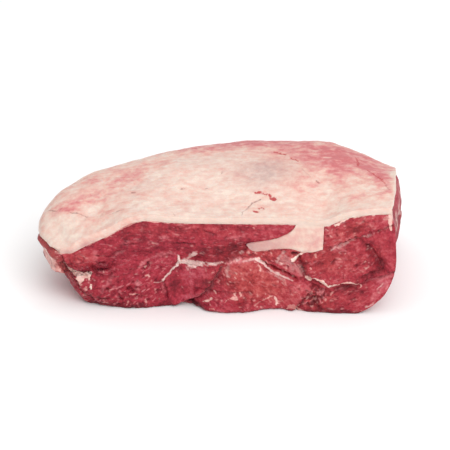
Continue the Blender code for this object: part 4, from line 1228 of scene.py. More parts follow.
@dataclass(frozen=True)
class RawLambFinish:
    """Raw lamb, freshly cut: crimson to orange red and moist, with fine fibres, painted glints and painted
    shade.
    """

    name: str = "raw_lamb_lean"
    crimson: tuple = (
        (0.0, "#55121d"), (0.25, "#7e1d2b"), (0.5, "#a22b3c"), (0.75, "#b94d5d"), (1.0, "#d98f96"))
    orange_red: tuple = (
        (0.0, "#5a161a"), (0.25, "#802628"), (0.5, "#a83b3d"), (0.75, "#c2615e"), (1.0, "#e2a296"))
    fat: tuple = ((0.0, "#e3b9ad"), (1.0, "#f0d8cc"))
    tinted_fat: tuple = ((0.0, "#c67d78"), (1.0, "#e6b1a8"))
    silverskin: str = "#ecd0c8"
    # pale: colour of painted highlights (glints and lit edges) and of paler flesh
    pale: str = "#d68488"
    # dark: colour of painted shade in seams, pits and crevices, and of dark nicks
    dark: str = "#430b15"
    # red of blood, also used as painted shade in creases, folds, pits and the slit
    blood: str = "#8a1220"
    skin: str = "#a54a48"
    fleck: str = "#e6b0a8"
    fibre_mm: float = 1.4
    lump_mm: float = 2.8
    grain_mm: float = 1.0
    glint_mm: float = 0.9
    shred_mm: float = 0.55
    ior: float = 1.34

    def build(self) -> bpy.types.Material:
        """Make the material."""
        tree = ShaderTree(self.name)
        add = tree.add
        place = add("TexCoord", {}, output="Object")
        fibre = add("Attribute", {}, attribute_name="fibre", output="Vector")
        layer = {name: add("Attribute", {}, attribute_name=name, output="Fac") for name in (
            "tone", "warm", "lumps_and_painted_glints", "skin", "fat", "fat_strength", "fat_tint", "silver", "silver_strength",
            "dark", "pale", "blood", "fleck", "dry")}
        # The fibres' own coordinates are in millimetres, the object's in metres
        noise = {name: add("TexNoise", {"Vector": vector, "Scale": scale, "Detail": detail, "Roughness": 0.6})
                 for name, vector, scale, detail in (
                     ("lumps", place, 1000 / self.lump_mm, 3.0), ("bundles", fibre, 1 / self.fibre_mm, 4.0),
                     ("grain", place, 1000 / self.grain_mm, 2.0), ("glints", fibre, 1 / self.glint_mm, 1.0),
                     ("shreds", fibre, 1 / self.shred_mm, 3.0))}
        tone = layer["tone"]
        shares = (("lumps", 0.80), ("bundles", 0.52), ("grain", 0.58))
        for name, share in shares:
            tone = add("Math", {0: noise[name], 1: share, 2: tone}, operation="MULTIPLY_ADD")
        tone = add("Math", {0: tone, 1: sum(share for _, share in shares) / 2}, operation="SUBTRACT")
        warm = add("Math", {0: noise["lumps"], 1: 0.8, 2: layer["warm"]}, operation="MULTIPLY_ADD")
        warm = add("Math", {0: warm, 1: 0.4}, operation="SUBTRACT", use_clamp=True)
        colour = add("Mix", {0: warm, 6: add("ValToRGB", {0: tone}, ramp=self.crimson),
                             7: add("ValToRGB", {0: tone}, ramp=self.orange_red)}, output=2, data_type="RGBA")
        # Each edge is frayed by the grain before it is sharpened
        frayed = {}
        for name, share in (("fat", 0.9), ("silver", 1.0)):
            frayed[name] = add(
                "Math", {0: noise["shreds"], 1: share, 2: layer[name]}, operation="MULTIPLY_ADD")
        shown = {}
        for name, value, low, high, to_low, to_high in (
                ("glint", noise["glints"], 0.60, 0.70, 0.0, 0.6),
                ("fat", frayed["fat"], 0.3, 0.6, 1.0, 0.0),
                ("silver", frayed["silver"], 0.2, 0.85, 1.0, 0.0),
                ("ground", noise["grain"], 0.35, 0.6, 0.45, 1.0),
                ("film", noise["bundles"], 0.35, 0.6, 0.6, 1.0),
                ("thick", noise["lumps"], 0.35, 0.65, 0.0, 1.0),
                ("gloss", noise["lumps"], 0.3, 0.7, 0.26, 0.44)):
            shown[name] = add("MapRange", {0: value, 1: low, 2: high, 3: to_low, 4: to_high},
                              interpolation_type="SMOOTHSTEP")
        for name, first, second in (
                ("glint", "glint", "lumps_and_painted_glints"), ("pale", "ground", "pale"), ("skin", "ground", "skin"),
                ("fat", "fat", "fat_strength"), ("silver", "silver", "silver_strength"),
                ("fleck", "ground", "fleck")):
            shown[name] = add("Math", {0: shown[first], 1: layer[second]}, operation="MULTIPLY")
        shown["silver"] = add("Math", {0: shown["silver"], 1: shown["film"]}, operation="MULTIPLY")
        fats = [add("ValToRGB", {0: shown["thick"]}, ramp=ramp) for ramp in (self.fat, self.tinted_fat)]
        fat_colour = add("Mix", {0: layer["fat_tint"], 6: fats[0], 7: fats[1]}, output=2, data_type="RGBA")
        # painted light: the glint and pale layers paint highlights, the dark layer and in part the blood layer
        # paint shade
        for share, above in ((shown["glint"], linear(self.pale)), (shown["pale"], linear(self.pale)),
                             (shown["skin"], linear(self.skin)), (layer["blood"], linear(self.blood)),
                             (layer["dark"], linear(self.dark)), (shown["fleck"], linear(self.fleck)),
                             (shown["silver"], linear(self.silverskin)), (shown["fat"], fat_colour)):
            colour = add("Mix", {0: share, 6: colour, 7: above}, output=2, data_type="RGBA")
        height = add("Math", {0: noise["bundles"], 1: 1.2, 2: noise["grain"]}, operation="MULTIPLY_ADD")
        bump = add("Bump", {"Strength": 0.8, "Distance": 0.45 * MILLIMETRE, "Height": height})
        roughness = add("Mix", {0: shown["fat"], 2: shown["gloss"], 3: 0.5}, data_type="FLOAT")
        roughness = add("Mix", {0: layer["dry"], 2: roughness, 3: 0.75}, data_type="FLOAT")
        return tree.set_surface({
            "Base Color": colour, "Roughness": roughness, "Normal": bump, "IOR": self.ior,
            "Specular IOR Level": 0.3, "Subsurface Weight": 0.10, "Subsurface Radius": (1.0, 0.2, 0.12),
            "Subsurface Scale": 0.7 * MILLIMETRE, "Coat Weight": 0.06, "Coat Roughness": 0.12,
            "Coat IOR": 1.33})


@dataclass(frozen=True)
class LambFatFinish:
    """Fresh lamb fat: firm, satin, cream where it is thick and rose where the flesh shows through."""

    name: str = "lamb_fat_cap"
    tones: tuple = (
        (0.0, "#ead6c8"), (0.12, "#e4ccbf"), (0.4, "#dfb3a6"), (0.5, "#dba59b"), (0.62, "#d89892"),
        (0.8, "#d28382"), (1.0, "#c87072"))
    membrane: str = "#b99792"
    vessel: str = "#82403e"
    # on the cap: only the red of its blood spots and streaks, no painted shade
    blood: str = "#b42b31"
    cut: str = "#dbc4b7"
    tip: str = "#b88d88"
    streak_mm: float = 2.2
    lump_mm: float = 8.0
    patch_mm: float = 3.0
    grain_mm: float = 0.9
    ior: float = 1.40

    def build(self) -> bpy.types.Material:
        """Make the material."""
        tree = ShaderTree(self.name)
        add = tree.add
        place = add("TexCoord", {}, output="Object")
        layer = {name: add("Attribute", {}, attribute_name=name, output="Fac") for name in (
            "pink", "membrane", "cut", "slant", "vessel", "blood", "tip")}
        drawn_out = [add("Mapping", {"Vector": place, "Rotation": (0.0, 0.0, math.radians(turn)),
                                     "Scale": (0.42, 1.0, 1.0)}) for turn in (6, 62)]
        noise = {}
        for name, vector, size in (
                ("lumps", place, self.lump_mm), ("patches", place, self.patch_mm),
                ("grain", place, self.grain_mm), ("level", drawn_out[0], self.streak_mm),
                ("aslant", drawn_out[1], self.streak_mm)):
            noise[name] = add(
                "TexNoise", {"Vector": vector, "Scale": 1000 / size, "Detail": 4.0, "Roughness": 0.6})
        streaks = add("Mix", {0: layer["slant"], 2: noise["level"], 3: noise["aslant"]}, data_type="FLOAT")
        uneven = add("Math", {0: noise["patches"], 1: streaks}, operation="ADD")
        share = add("MapRange", {0: uneven, 1: 0.7, 2: 1.3, 3: 0.6, 4: 1.4})
        pink = add("Math", {0: layer["pink"], 1: share}, operation="MULTIPLY")
        noise["streaks"] = streaks
        gains = (("lumps", 0.70), ("patches", 0.38), ("streaks", 0.40), ("grain", 0.30))
        for name, gain in gains:
            pink = add("Math", {0: noise[name], 1: gain, 2: pink}, operation="MULTIPLY_ADD")
        pink = add("Math", {0: pink, 1: sum(gain for _, gain in gains) / 2}, operation="SUBTRACT")
        colour = add("ValToRGB", {0: pink}, ramp=self.tones)
        edge = {}
        for name, fray, low, high, most in (("vessel", 0.9, 0.2, 0.8, 0.72), ("blood", 2.4, 0.95, 1.6, 0.92)):
            frayed = add("Math", {0: noise["grain"], 1: fray, 2: layer[name]}, operation="MULTIPLY_ADD")
            edge[name] = add("MapRange", {0: frayed, 1: low, 2: high, 3: most, 4: 0.0},
                             interpolation_type="SMOOTHSTEP")
        ground = add("MapRange", {0: noise["grain"], 1: 0.3, 2: 0.65, 3: 0.5, 4: 0.95})
        cut = add("Math", {0: layer["cut"], 1: ground}, operation="MULTIPLY")
        film = add("MapRange", {0: noise["patches"], 1: 0.35, 2: 0.65, 3: 0.55, 4: 1.25})
        film = add("Math", {0: layer["membrane"], 1: film}, operation="MULTIPLY", use_clamp=True)
        for cover, above in ((film, self.membrane), (cut, self.cut), (layer["tip"], self.tip),
                             (edge["vessel"], self.vessel), (edge["blood"], self.blood)):
            colour = add("Mix", {0: cover, 6: colour, 7: linear(above)}, output=2, data_type="RGBA")
        height = add("Math", {0: streaks, 1: 1.2, 2: noise["grain"]}, operation="MULTIPLY_ADD")
        bump = add("Bump", {"Strength": 0.5, "Distance": 0.35 * MILLIMETRE, "Height": height})
        gloss = add("MapRange", {0: noise["lumps"], 1: 0.3, 2: 0.7, 3: 0.40, 4: 0.55})
        return tree.set_surface({
            "Base Color": colour, "Roughness": gloss, "Normal": bump, "IOR": self.ior,
            "Subsurface Weight": 0.25, "Subsurface Radius": (1.0, 0.6, 0.45),
            "Subsurface Scale": 1.2 * MILLIMETRE})


@dataclass(frozen=True)
class PaperSweepFinish:
    """White paper sweep: matt, with a faint tooth."""

    name: str = "white_paper_sweep"
    colour: str = "#fbfbfb"
    tooth_mm: float = 1.2

    def build(self) -> bpy.types.Material:
        """Make the material."""
        tree = ShaderTree(self.name)
        place = tree.add("TexCoord", {}, output="Object")
        tooth = tree.add("TexNoise", {"Vector": place, "Scale": 1000 / self.tooth_mm, "Detail": 2.0})
        bump = tree.add("Bump", {"Strength": 0.05, "Distance": 0.05 * MILLIMETRE, "Height": tooth})
        return tree.set_surface({
            "Base Color": linear(self.colour), "Roughness": 0.9, "Specular IOR Level": 0.1, "Normal": bump})


# The lean

@dataclass
class Lean:
    """All the muscle: cut square at the front and right, domed under the cap.

    Attributes:
        form: the block's form.
        low: lowest corner of the frame's box, in metres.
        high: its highest corner.
        cells: cells of its surface grid along, across and up; the cut front has twice as many each way.
        crowding: power by which the cells across crowd towards the front.
        foot_round: radius of the edge that it stands on.
        front_reach: how far behind the cut front its relief is felt.
        on_front: share of nearness to the front from which a point counts as on it.
        most_relief: how far the cut front may stand out.
        carving_ends: heights against the cap's edge between which carving dies away under the cap.
        right_end_x: where the right end begins, and where it is felt in full.
        right_end_y: where its carving begins to die away towards the back, and where it ends.
        pick_reach: how far round a pixel the points of the front are averaged to find its place, in pixels.
        pick_edge: how far under the cap's edge a point has to lie for that.
        pick_rounds: how often the listed features are settled on the front as they carve it.
    """

    form: BlockForm
    low: Array
    high: Array
    cells: tuple[int, int, int] = (220, 44, 60)
    crowding: float = 1.25
    foot_round: float = 1.4
    front_reach: float = 5.0
    on_front: float = 0.9
    most_relief: float = 2.5
    carving_ends: tuple[float, float] = (-2.2, -0.3)
    right_end_x: tuple[float, float] = (58.0, 64.0)
    right_end_y: tuple[float, float] = (50.0, 58.0)
    pick_reach: float = 0.7
    pick_edge: float = 0.3
    pick_rounds: int = 2
    features: Features = PICKED
    piece: bpy.types.Object | None = field(default=None, init=False)
    front: Array = field(default=None, init=False)
    near: Array = field(default=None, init=False)
    x: Array = field(default=None, init=False)
    z: Array = field(default=None, init=False)
    number: Array = field(default=None, init=False)
    depth: Array = field(default=None, init=False)

    def survey(self, points: Array) -> None:
        """Find which points lie near the cut front, where on it they are and in which muscle.

        The places are shifted a little by noise, so that no border on the meat runs true.
        """
        behind = points[:, 1] - self.form.front_y(points[:, 0], points[:, 2])
        self.front = 1 - smoothstep(1.0, self.front_reach, behind)
        self.near = np.flatnonzero(self.front > 0)
        flat = points[self.near] * [1.0, 0.0, 1.0]
        self.x, self.z = flat[:, 0].copy(), flat[:, 2].copy()
        for size, amount, seed in ((3.5, 0.35, 61), (1.1, 0.22, 63)):
            self.x += amount * value_noise(flat, size, seed)
            self.z += amount * value_noise(flat, size, seed + 1)
        depths = np.stack([-muscle.outline.distance(self.x, self.z) for muscle in MUSCLES])
        self.number, self.depth = depths.argmax(axis=0), depths.max(axis=0)

    def settle(self, points: Array) -> None:
        """Bring the features that are given in pixels of the photo to their places on the front.

        A carved place shows elsewhere than a plain one, so they are settled on the plain front first, and
        then on the front as they carve it.
        """
        near = points[self.near]
        seen = (self.front[self.near] > self.on_front) & (near[:, 2] > 0.01)
        seen &= near[:, 2] < self.form.front_edge(near[:, 0]) - self.pick_edge
        flat = np.stack([self.x, self.z], -1)[seen]
        shown = PHOTO.pixels(near[seen])

        def place(pixels: Points) -> Points:
            """Places on the front that show at some pixels."""
            gaps = ((shown - np.array(pixels)[:, None]) ** 2).sum(axis=-1)
            shares = np.exp((gaps.min(axis=1, keepdims=True) - gaps) / self.pick_reach**2)
            return tuple(map(tuple, shares @ flat / shares.sum(axis=1, keepdims=True)))

        self.features = PICKED.settled(place)
        for _ in range(self.pick_rounds):
            push = np.minimum(self.front_relief(near), self.most_relief) * self.front[self.near]
            carved = near - np.outer(push * self.below_cap(near), [0.0, 1.0, 0.0])
            shown = PHOTO.pixels(self.round_foot(carved)[seen])
            self.features = PICKED.settled(place)

    def below_cap(self, points: Array) -> Array:
        """How free points are to be carved: 1 below the cap, 0 under it."""
        return 1 - smoothstep(*self.carving_ends, points[:, 2] - self.form.front_edge(points[:, 0]))

    def of_muscle(self, name: str) -> Array:
        """A value of the muscle that each point near the front lies in."""
        return np.array([getattr(muscle, name) for muscle in MUSCLES])[self.number]

    def seam_relief(self, u: Array, v: Array, seams: tuple[Seam, ...]) -> Array:
        """How far a cut face stands out round its seams.

        Args:
            u: first coordinate on the face.
            v: second coordinate on the face.
            seams: the face's seams.

        Returns:
            The relief, positive outwards.
        """
        relief = np.zeros(len(u))
        for item in seams:
            gap, along = item.line.nearest(u, v)
            groove = item.depth * np.exp(-((gap / item.width) ** 2))
            step = item.step / 2 * np.tanh(gap / (item.width * 1.3)) * np.exp(-((gap / item.reach) ** 2))
            relief -= (groove + step) * item.fade(along)
        return relief

    def scattered(self, scatters: tuple[Scatter, ...], seed: int) -> Array:
        """Depth of the strokes strewn over the front's muscles.

        Args:
            scatters: what is strewn over each muscle.
            seed: seed of their places.

        Returns:
            How deep, or how strong, they are at each point near the front.
        """
        rng = np.random.default_rng(seed)
        result = np.zeros(len(self.x))
        numbers = {muscle.name: index for index, muscle in enumerate(MUSCLES)}
        for scatter in scatters:
            index = numbers[scatter.muscle]
            inside = np.flatnonzero((self.number == index) & (self.front[self.near] > self.on_front))
            middles = inside[(rng.random(scatter.number) * len(inside)).astype(int)]
            spans = (scatter.length, scatter.width, scatter.depth)
            for middle in middles:
                length, width, depth = (rng.uniform(*span) for span in spans)
                turn = math.radians(MUSCLES[index].fibre + rng.uniform(-35, 35))
                du, dv = self.x - self.x[middle], self.z - self.z[middle]
                close = np.flatnonzero((np.abs(du) < 4 * length) & (np.abs(dv) < 4 * length))
                du, dv = du[close], dv[close]
                along = (du * math.cos(turn) + dv * math.sin(turn)) / length
                over = (dv * math.cos(turn) - du * math.sin(turn)) / width
                result[close] = np.maximum(result[close], depth * np.exp(-along**2 - over**2))
        return result

    def pits(self) -> Array:
        """Depth of all the small pits at each point near the front."""
        result = self.scattered(SCATTERED_PITS, 71)
        for x, z, radius, depth in self.features.pits:
            gap = ((self.x - x) ** 2 + (self.z - z) ** 2) / radius**2
            result = np.maximum(result, depth * np.exp(-gap))
        return result

    def fibre_place(self, points: Array, angle: Array) -> Array:
        """Coordinates that run along the fibres, stretched so that a pattern on them is drawn out.

        They turn the corners of the block, so that the pattern isn't stretched on its ends.
        """
        turn = np.radians(angle)
        x, y, z = points.T
        right = smoothstep(54.0, 60.0, x) * smoothstep(3.0, 9.0, y)
        left = smoothstep(-48.0, -54.0, x) * smoothstep(4.0, 10.0, y)
        run = x + y * (right - left)
        inward = y * (1 - right - left) + (x - 60.0) * right - (x + 60.0) * left
        along = run * np.cos(turn) + z * np.sin(turn)
        over = z * np.cos(turn) - run * np.sin(turn)
        return np.stack([along * 0.36, over, inward * 0.6], -1)

    def front_relief(self, points: Array) -> Array:
        """How far the front stands out at each point near it: seams, muscles, marks, fibres and lumps."""
        relief = self.seam_relief(self.x, self.z, self.features.seams)
        lift, shoulder, lumps_and_painted_glints = (self.of_muscle(name) for name in ("lift", "shoulder", "lumps_and_painted_glints"))
        relief += lift * (0.4 - np.exp(-np.maximum(self.depth, 0) / shoulder))
        for mark in self.features.marks:
            if mark.rise:
                relief += mark.rise * (1 - smoothstep(-0.3, 0.5, mark.gap(self.x, self.z)))
        relief += sum(swelling.at(self.x, self.z) for swelling in FRONT_SWELLINGS)
        fibres = self.fibre_place(points, self.of_muscle("fibre"))
        relief += 0.40 * value_noise(points, 8.0, 3, 2)
        relief += (0.12 + 0.26 * lumps_and_painted_glints) * value_noise(fibres, 1.7, 5, 3)
        relief += (0.05 + 0.12 * lumps_and_painted_glints) * value_noise(points, 1.2, 6, 2)
        for patch_of, amount, size, reach in ((GRISTLE, 1.0, 1.6, 1.0), (LUMPY_GLINT_PATCH, 0.6, 2.0, 2.0)):
            rough = 1 - smoothstep(-reach, reach, patch_of.distance(self.x, self.z))
            relief += amount * rough * value_noise(points, size, 7, 2)
        return relief - self.pits()

    def carve(self, points: Array) -> Array:
        """Move the block's surface to show its seams, fibres and small lumps.

        Args:
            points: the surface as drawn, in millimetres.

        Returns:
            The carved surface.
        """
        carved = points.copy()
        below_cap = self.below_cap(points)
        relief = np.zeros(len(points))
        relief[self.near] = self.front_relief(points[self.near])
        carved[:, 1] -= np.minimum(relief, self.most_relief) * self.front * below_cap
        right = smoothstep(*self.right_end_x, points[:, 0]) * (1 - smoothstep(*self.right_end_y, points[:, 1]))
        right *= (1 - self.front) * below_cap
        carved[:, 0] += self.seam_relief(points[:, 1], points[:, 2], RIGHT_SEAMS) * right
        outward = (points - [0.0, 38.0, 0.0]) * [1.0, 1.4, 0.0]
        outward /= np.maximum(np.linalg.norm(outward, axis=1, keepdims=True), 1e-6)
        grain = self.fibre_place(points, np.full(len(points), 18.0))
        lumps = 0.35 * value_noise(points, 6.0, 11, 3) + 0.12 * value_noise(grain, 1.8, 13, 2) - 0.2
        lumps *= (1 - self.front) * below_cap * (points[:, 2] > 0.01)
        skin, inner_fat, _ = self.left_end(points)
        lumps += 1.0 * skin * smoothstep(-0.2, 1.2, inner_fat) * smoothstep(18.5, 20.5, points[:, 2])
        lumps -= LEFT_HOLLOW.at(points[:, 1], points[:, 2]) * smoothstep(-54.0, -60.0, points[:, 0])
        carved[:, 0] -= CORNER_HOLLOW.at(points[:, 1], points[:, 2]) * smoothstep(59.0, 64.0, points[:, 0])
        return carved + outward * lumps[:, None]

    def round_foot(self, points: Array) -> Array:
        """Draw in the lowest edge, as soft meat does where it rests."""
        lowest = np.clip(1 - points[:, 2] / self.foot_round, 0, 1)
        bowed = 1 - np.sqrt(np.clip(1 - lowest**2, 0, 1))
        pull = self.foot_round * 0.7 * np.where(points[:, 2] > 0.0, bowed, 1.0)
        inward = (np.array([0.0, 33.0, 0.0]) - points) * [1.0, 1.0, 0.0]
        inward /= np.maximum(np.linalg.norm(inward, axis=1, keepdims=True), 1e-6)
        return points + inward * pull[:, None]

    def build(self, pocket: bpy.types.Object) -> bpy.types.Object:
        """Make the lean, cut the pocket for the wedge of fat into it, carve it and paint it.

        Args:
            pocket: a block a little larger than the wedge of fat.

        Returns:
            The piece.
        """
        self.piece = gridded_block("lean_muscle", self.cells, finer=(1, 0.0))
        unit = np.clip(coordinates(self.piece), 0, 1)
        drawn = self.form.block(unit[:, 0], unit[:, 1] ** self.crowding, unit[:, 2])
        move_vertices(self.piece, self.form.to_metres(drawn))
        cut_or_join(self.piece, pocket, "DIFFERENCE")
        drawn = self.form.to_drawn(coordinates(self.piece))
        self.survey(drawn)
        self.settle(drawn)
        paint(self.piece, self.finish_layers(drawn))
        carved = self.round_foot(self.carve(drawn))
        carved[:, 2] = np.maximum(carved[:, 2], 0.0)
        move_vertices(self.piece, keep_inside(self.form.to_metres(carved), self.low, self.high))
        smooth_faces(self.piece)
        return self.piece

    def spread(self, values: Array, elsewhere: Array | float = 0.0) -> Array:
        """Values of the points near the front, fading to others behind it."""
        everywhere = np.zeros(len(self.front)) + elsewhere
        share = self.front[self.near]
        everywhere[self.near] = values * share + everywhere[self.near] * (1 - share)
        return everywhere

    def finish_layers(self, points: Array) -> dict[str, Array]:
        """What the finish reads on the mesh: tone, fibres, seams, strands and flecks, and painted light and
        shade.
        """
        x, z, count = self.x, self.z, len(points)
        # the tone takes in painted shade and painted light from the tone table
        tone = self.of_muscle("tone") + sum(shade.at(x, z) for shade in self.features.tones)
        warm = 0.1 + sum(shade.at(x, z) for shade in self.features.warmths)
        covers = {tissue: np.zeros(len(x)) for tissue in Tissue}
        tint = np.zeros(len(x))
        gaps = {tissue: np.full(len(x), FAR) for tissue in (FAT, SILVER)}
        for mark in self.features.marks:
            gap = mark.gap(x, z)
            if mark.tissue in gaps:
                gap = gap * 0.4 / mark.soft
                closer = gap < gaps[mark.tissue]
                covers[mark.tissue] = np.where(closer, mark.strength, covers[mark.tissue])
                if mark.tissue is FAT:
                    tint = np.where(closer, min(1.0, 10 * (1 - mark.strength)), tint)
                gaps[mark.tissue] = np.minimum(gaps[mark.tissue], gap)
            else:
                shown = mark.strength * (1 - smoothstep(-mark.soft, mark.soft, gap))
                covers[mark.tissue] = np.maximum(covers[mark.tissue], shown)
        # painted shade, with some blood, darkens the bottoms of the seams
        for item in self.features.seams:
            gap, along = item.line.nearest(x, z)
            shown = item.dark * np.exp(-((gap / (item.width * 0.8)) ** 2)) * item.fade(along)
            covers[DARK] = np.maximum(covers[DARK], shown)
        # painted shade darkens the pits
        covers[DARK] = np.maximum(covers[DARK], np.clip(self.pits() * 0.75, 0, 0.85))
        flecks = self.scattered(SCATTERED_FLECKS, 73)
        near = points[self.near]
        ragged = 0.18 * value_noise(near, 0.9, 65, 2) + 0.1 * value_noise(near, 2.4, 66)
        fringe = self.form.front_edge(x) - near[:, 2] + 0.35 * value_noise(near, 2.0, 68, 2)
        gaps[FAT] = np.minimum(gaps[FAT], fringe)
        covers[FAT] = np.where(fringe <= gaps[FAT], 0.9, covers[FAT])
        for tissue in gaps:
            gaps[tissue] = gaps[tissue] + ragged
        # the gristle gets painted highlights on its lumps and painted shade between them
        rough = 1 - smoothstep(-1.0, 1.0, GRISTLE.distance(x, z))
        lumps = value_noise(near, 1.15, 67, 2)
        covers[PALE] = np.maximum(covers[PALE], 0.95 * rough * smoothstep(0.08, 0.36, lumps))
        covers[DARK] = np.maximum(covers[DARK], 0.7 * rough * smoothstep(-0.08, -0.36, lumps))
        # the share of painted glints, which are painted highlights, raised on the gristle and the lumpy patch
        lumps_and_painted_glints = np.maximum(self.of_muscle("lumps_and_painted_glints"), rough)
        lumps_and_painted_glints = np.maximum(lumps_and_painted_glints, 1 - smoothstep(-1.5, 1.5, LUMPY_GLINT_PATCH.distance(x, z)))
        angle = np.full(count, 18.0)
        angle[self.near] = self.of_muscle("fibre")
        skin, left_fat, left_tint = self.left_end(points)
        side_fat, side_silver, side_dark = self.side_layers(points)
        layers = {
            "tone": self.spread(tone, 0.45 + 0.10 * value_noise(points, 14.0, 21, 2)),
            "warm": self.spread(warm, 0.2), "lumps_and_painted_glints": self.spread(lumps_and_painted_glints, 0.35), "skin": skin,
            "fibre": self.fibre_place(points, angle),
            "fat": np.full(count, FAR), "fat_strength": np.ones(count),
            "fat_tint": self.spread(tint, left_tint),
            "silver": np.full(count, FAR), "silver_strength": np.full(count, 0.5),
            "dark": self.spread(covers[DARK]), "pale": self.spread(covers[PALE]),
            "blood": self.spread(covers[BLOOD_AND_PAINTED_SHADE]), "fleck": self.spread(flecks),
            "dry": smoothstep(60.0, 66.0, points[:, 0]) * (1 - self.front),
        }
        for name, tissue in (("fat", FAT), ("silver", SILVER)):
            layers[name][self.near] = np.where(self.front[self.near] > 0.3, gaps[tissue], FAR)
            layers[name + "_strength"][self.near] = covers[tissue]
        beside = np.minimum(left_fat, side_fat)
        layers["fat_strength"] = np.where(beside < layers["fat"], 1.0, layers["fat_strength"])
        layers["fat"] = np.minimum(layers["fat"], beside)
        film = 0.5 - 0.2 * (points[:, 0] > 55.0) * smoothstep(33.0, 36.0, points[:, 2])
        layers["silver_strength"] = np.where(side_silver < layers["silver"], film, layers["silver_strength"])
        layers["silver"] = np.minimum(layers["silver"], side_silver)
        # painted shade along the lowest millimetres, where the meat meets the floor
        painted_foot_shade = 0.5 * (1 - smoothstep(0.2, 1.8, points[:, 2] + 0.5 * value_noise(points, 4.0, 69)))
        layers["dark"] = np.maximum.reduce([layers["dark"], side_dark, painted_foot_shade])
        return layers

    def side_layers(self, points: Array) -> tuple[Array, Array, Array]:
        """Fat, silverskin and painted shade on the right end, the back and the left side.

        Args:
            points: the surface as drawn.

        Returns:
            The distance to fat, the distance to silverskin, and how dark each point is with painted shade.
        """
        x, y, z = points.T
        dark = np.zeros(len(points))
        at_right = (x > 55) & (y > 1.5)
        silver = np.full(len(points), FAR)
        for item in RIGHT_SEAMS:
            gap = np.abs(item.line.distance(y, z))
            # painted shade, with some blood, in the bottoms of the right end's seams
            dark = np.maximum(dark, item.dark * np.exp(-((gap / (item.width * 0.7)) ** 2)) * at_right)
            film = gap - 0.5 + 0.6 * value_noise(points, 4.0, 81)
            silver = np.where(at_right, np.minimum(silver, film), silver)
        patches = 1.0 - 1.8 * value_noise(points * [0.5, 0.5, 1.5], 7.0, 83, 3)
        behind = (self.front < 0.01) & ~at_right & (z > 1.0) & ((x > -60.0) | (y > 34.0) | (z < 14.0))
        silver = np.where(behind, np.minimum(silver, patches), silver)
        ragged = END_MEMBRANE.distance(y, z) * 0.22 + 0.7 * value_noise(points * [1, 0.6, 1.2], 4.0, 87, 3)
        ragged += END_MEMBRANE_MIDDLE.at(y, z)
        silver = np.where(at_right, np.minimum(silver, ragged), silver)
        fat = np.where(behind, 0.9 - 1.4 * value_noise(points * [0.4, 0.4, 1.9], 5.0, 85, 3), FAR)
        return fat, silver, dark * (1 - self.front)

    def left_end(self, points: Array) -> tuple[Array, Array, Array]:
        """The dried skin and the inner fat of the left end.

        Args:
            points: the surface as drawn.

        Returns:
            How much skin covers each point, its distance to the inner fat, negative inside it, and how
            tinted that fat is.
        """
        x, y, z = points.T
        x_moved = x + 0.3 * value_noise(points, 2.0, 33)
        beside = self.features.seams[0].line.distance(x_moved, z)
        skin = smoothstep(-0.1, 0.5, beside) * (beside < FAR - 0.1) * smoothstep(9.0, 15.0, z)
        rim = smooth_curve(self.form.top_left, np.linspace(0, 1, 60))
        below = np.interp(y, rim[:, 1], rim[:, 2]) - z
        strip = 3.2 + 0.7 * value_noise(points, 5.0, 31)
        foot = 9.6 + 1.4 * value_noise(points, 3.0, 35)
        fat = np.maximum.reduce([strip - below, below - foot, 2.2 - y, (x + 52.0) * 0.5, (y - 34.0) * 0.5])
        tint = smoothstep(3.5, 7.5, below) * 0.8 + 0.25 * value_noise(points, 3.0, 37, 2)
        tint = np.where(x < -55.0, tint, np.where(self.front > 0.01, 0.15, 0.6))
        return skin, np.clip(fat, -FAR, FAR), np.clip(tint, 0, 1)

    def dress(self, finish: RawLambFinish) -> None:
        """Give the lean its finish and stand it for the frame's node."""
        self.piece.data.materials.append(finish.build())
        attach(self.piece, "root")
        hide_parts("lean")


# The fat

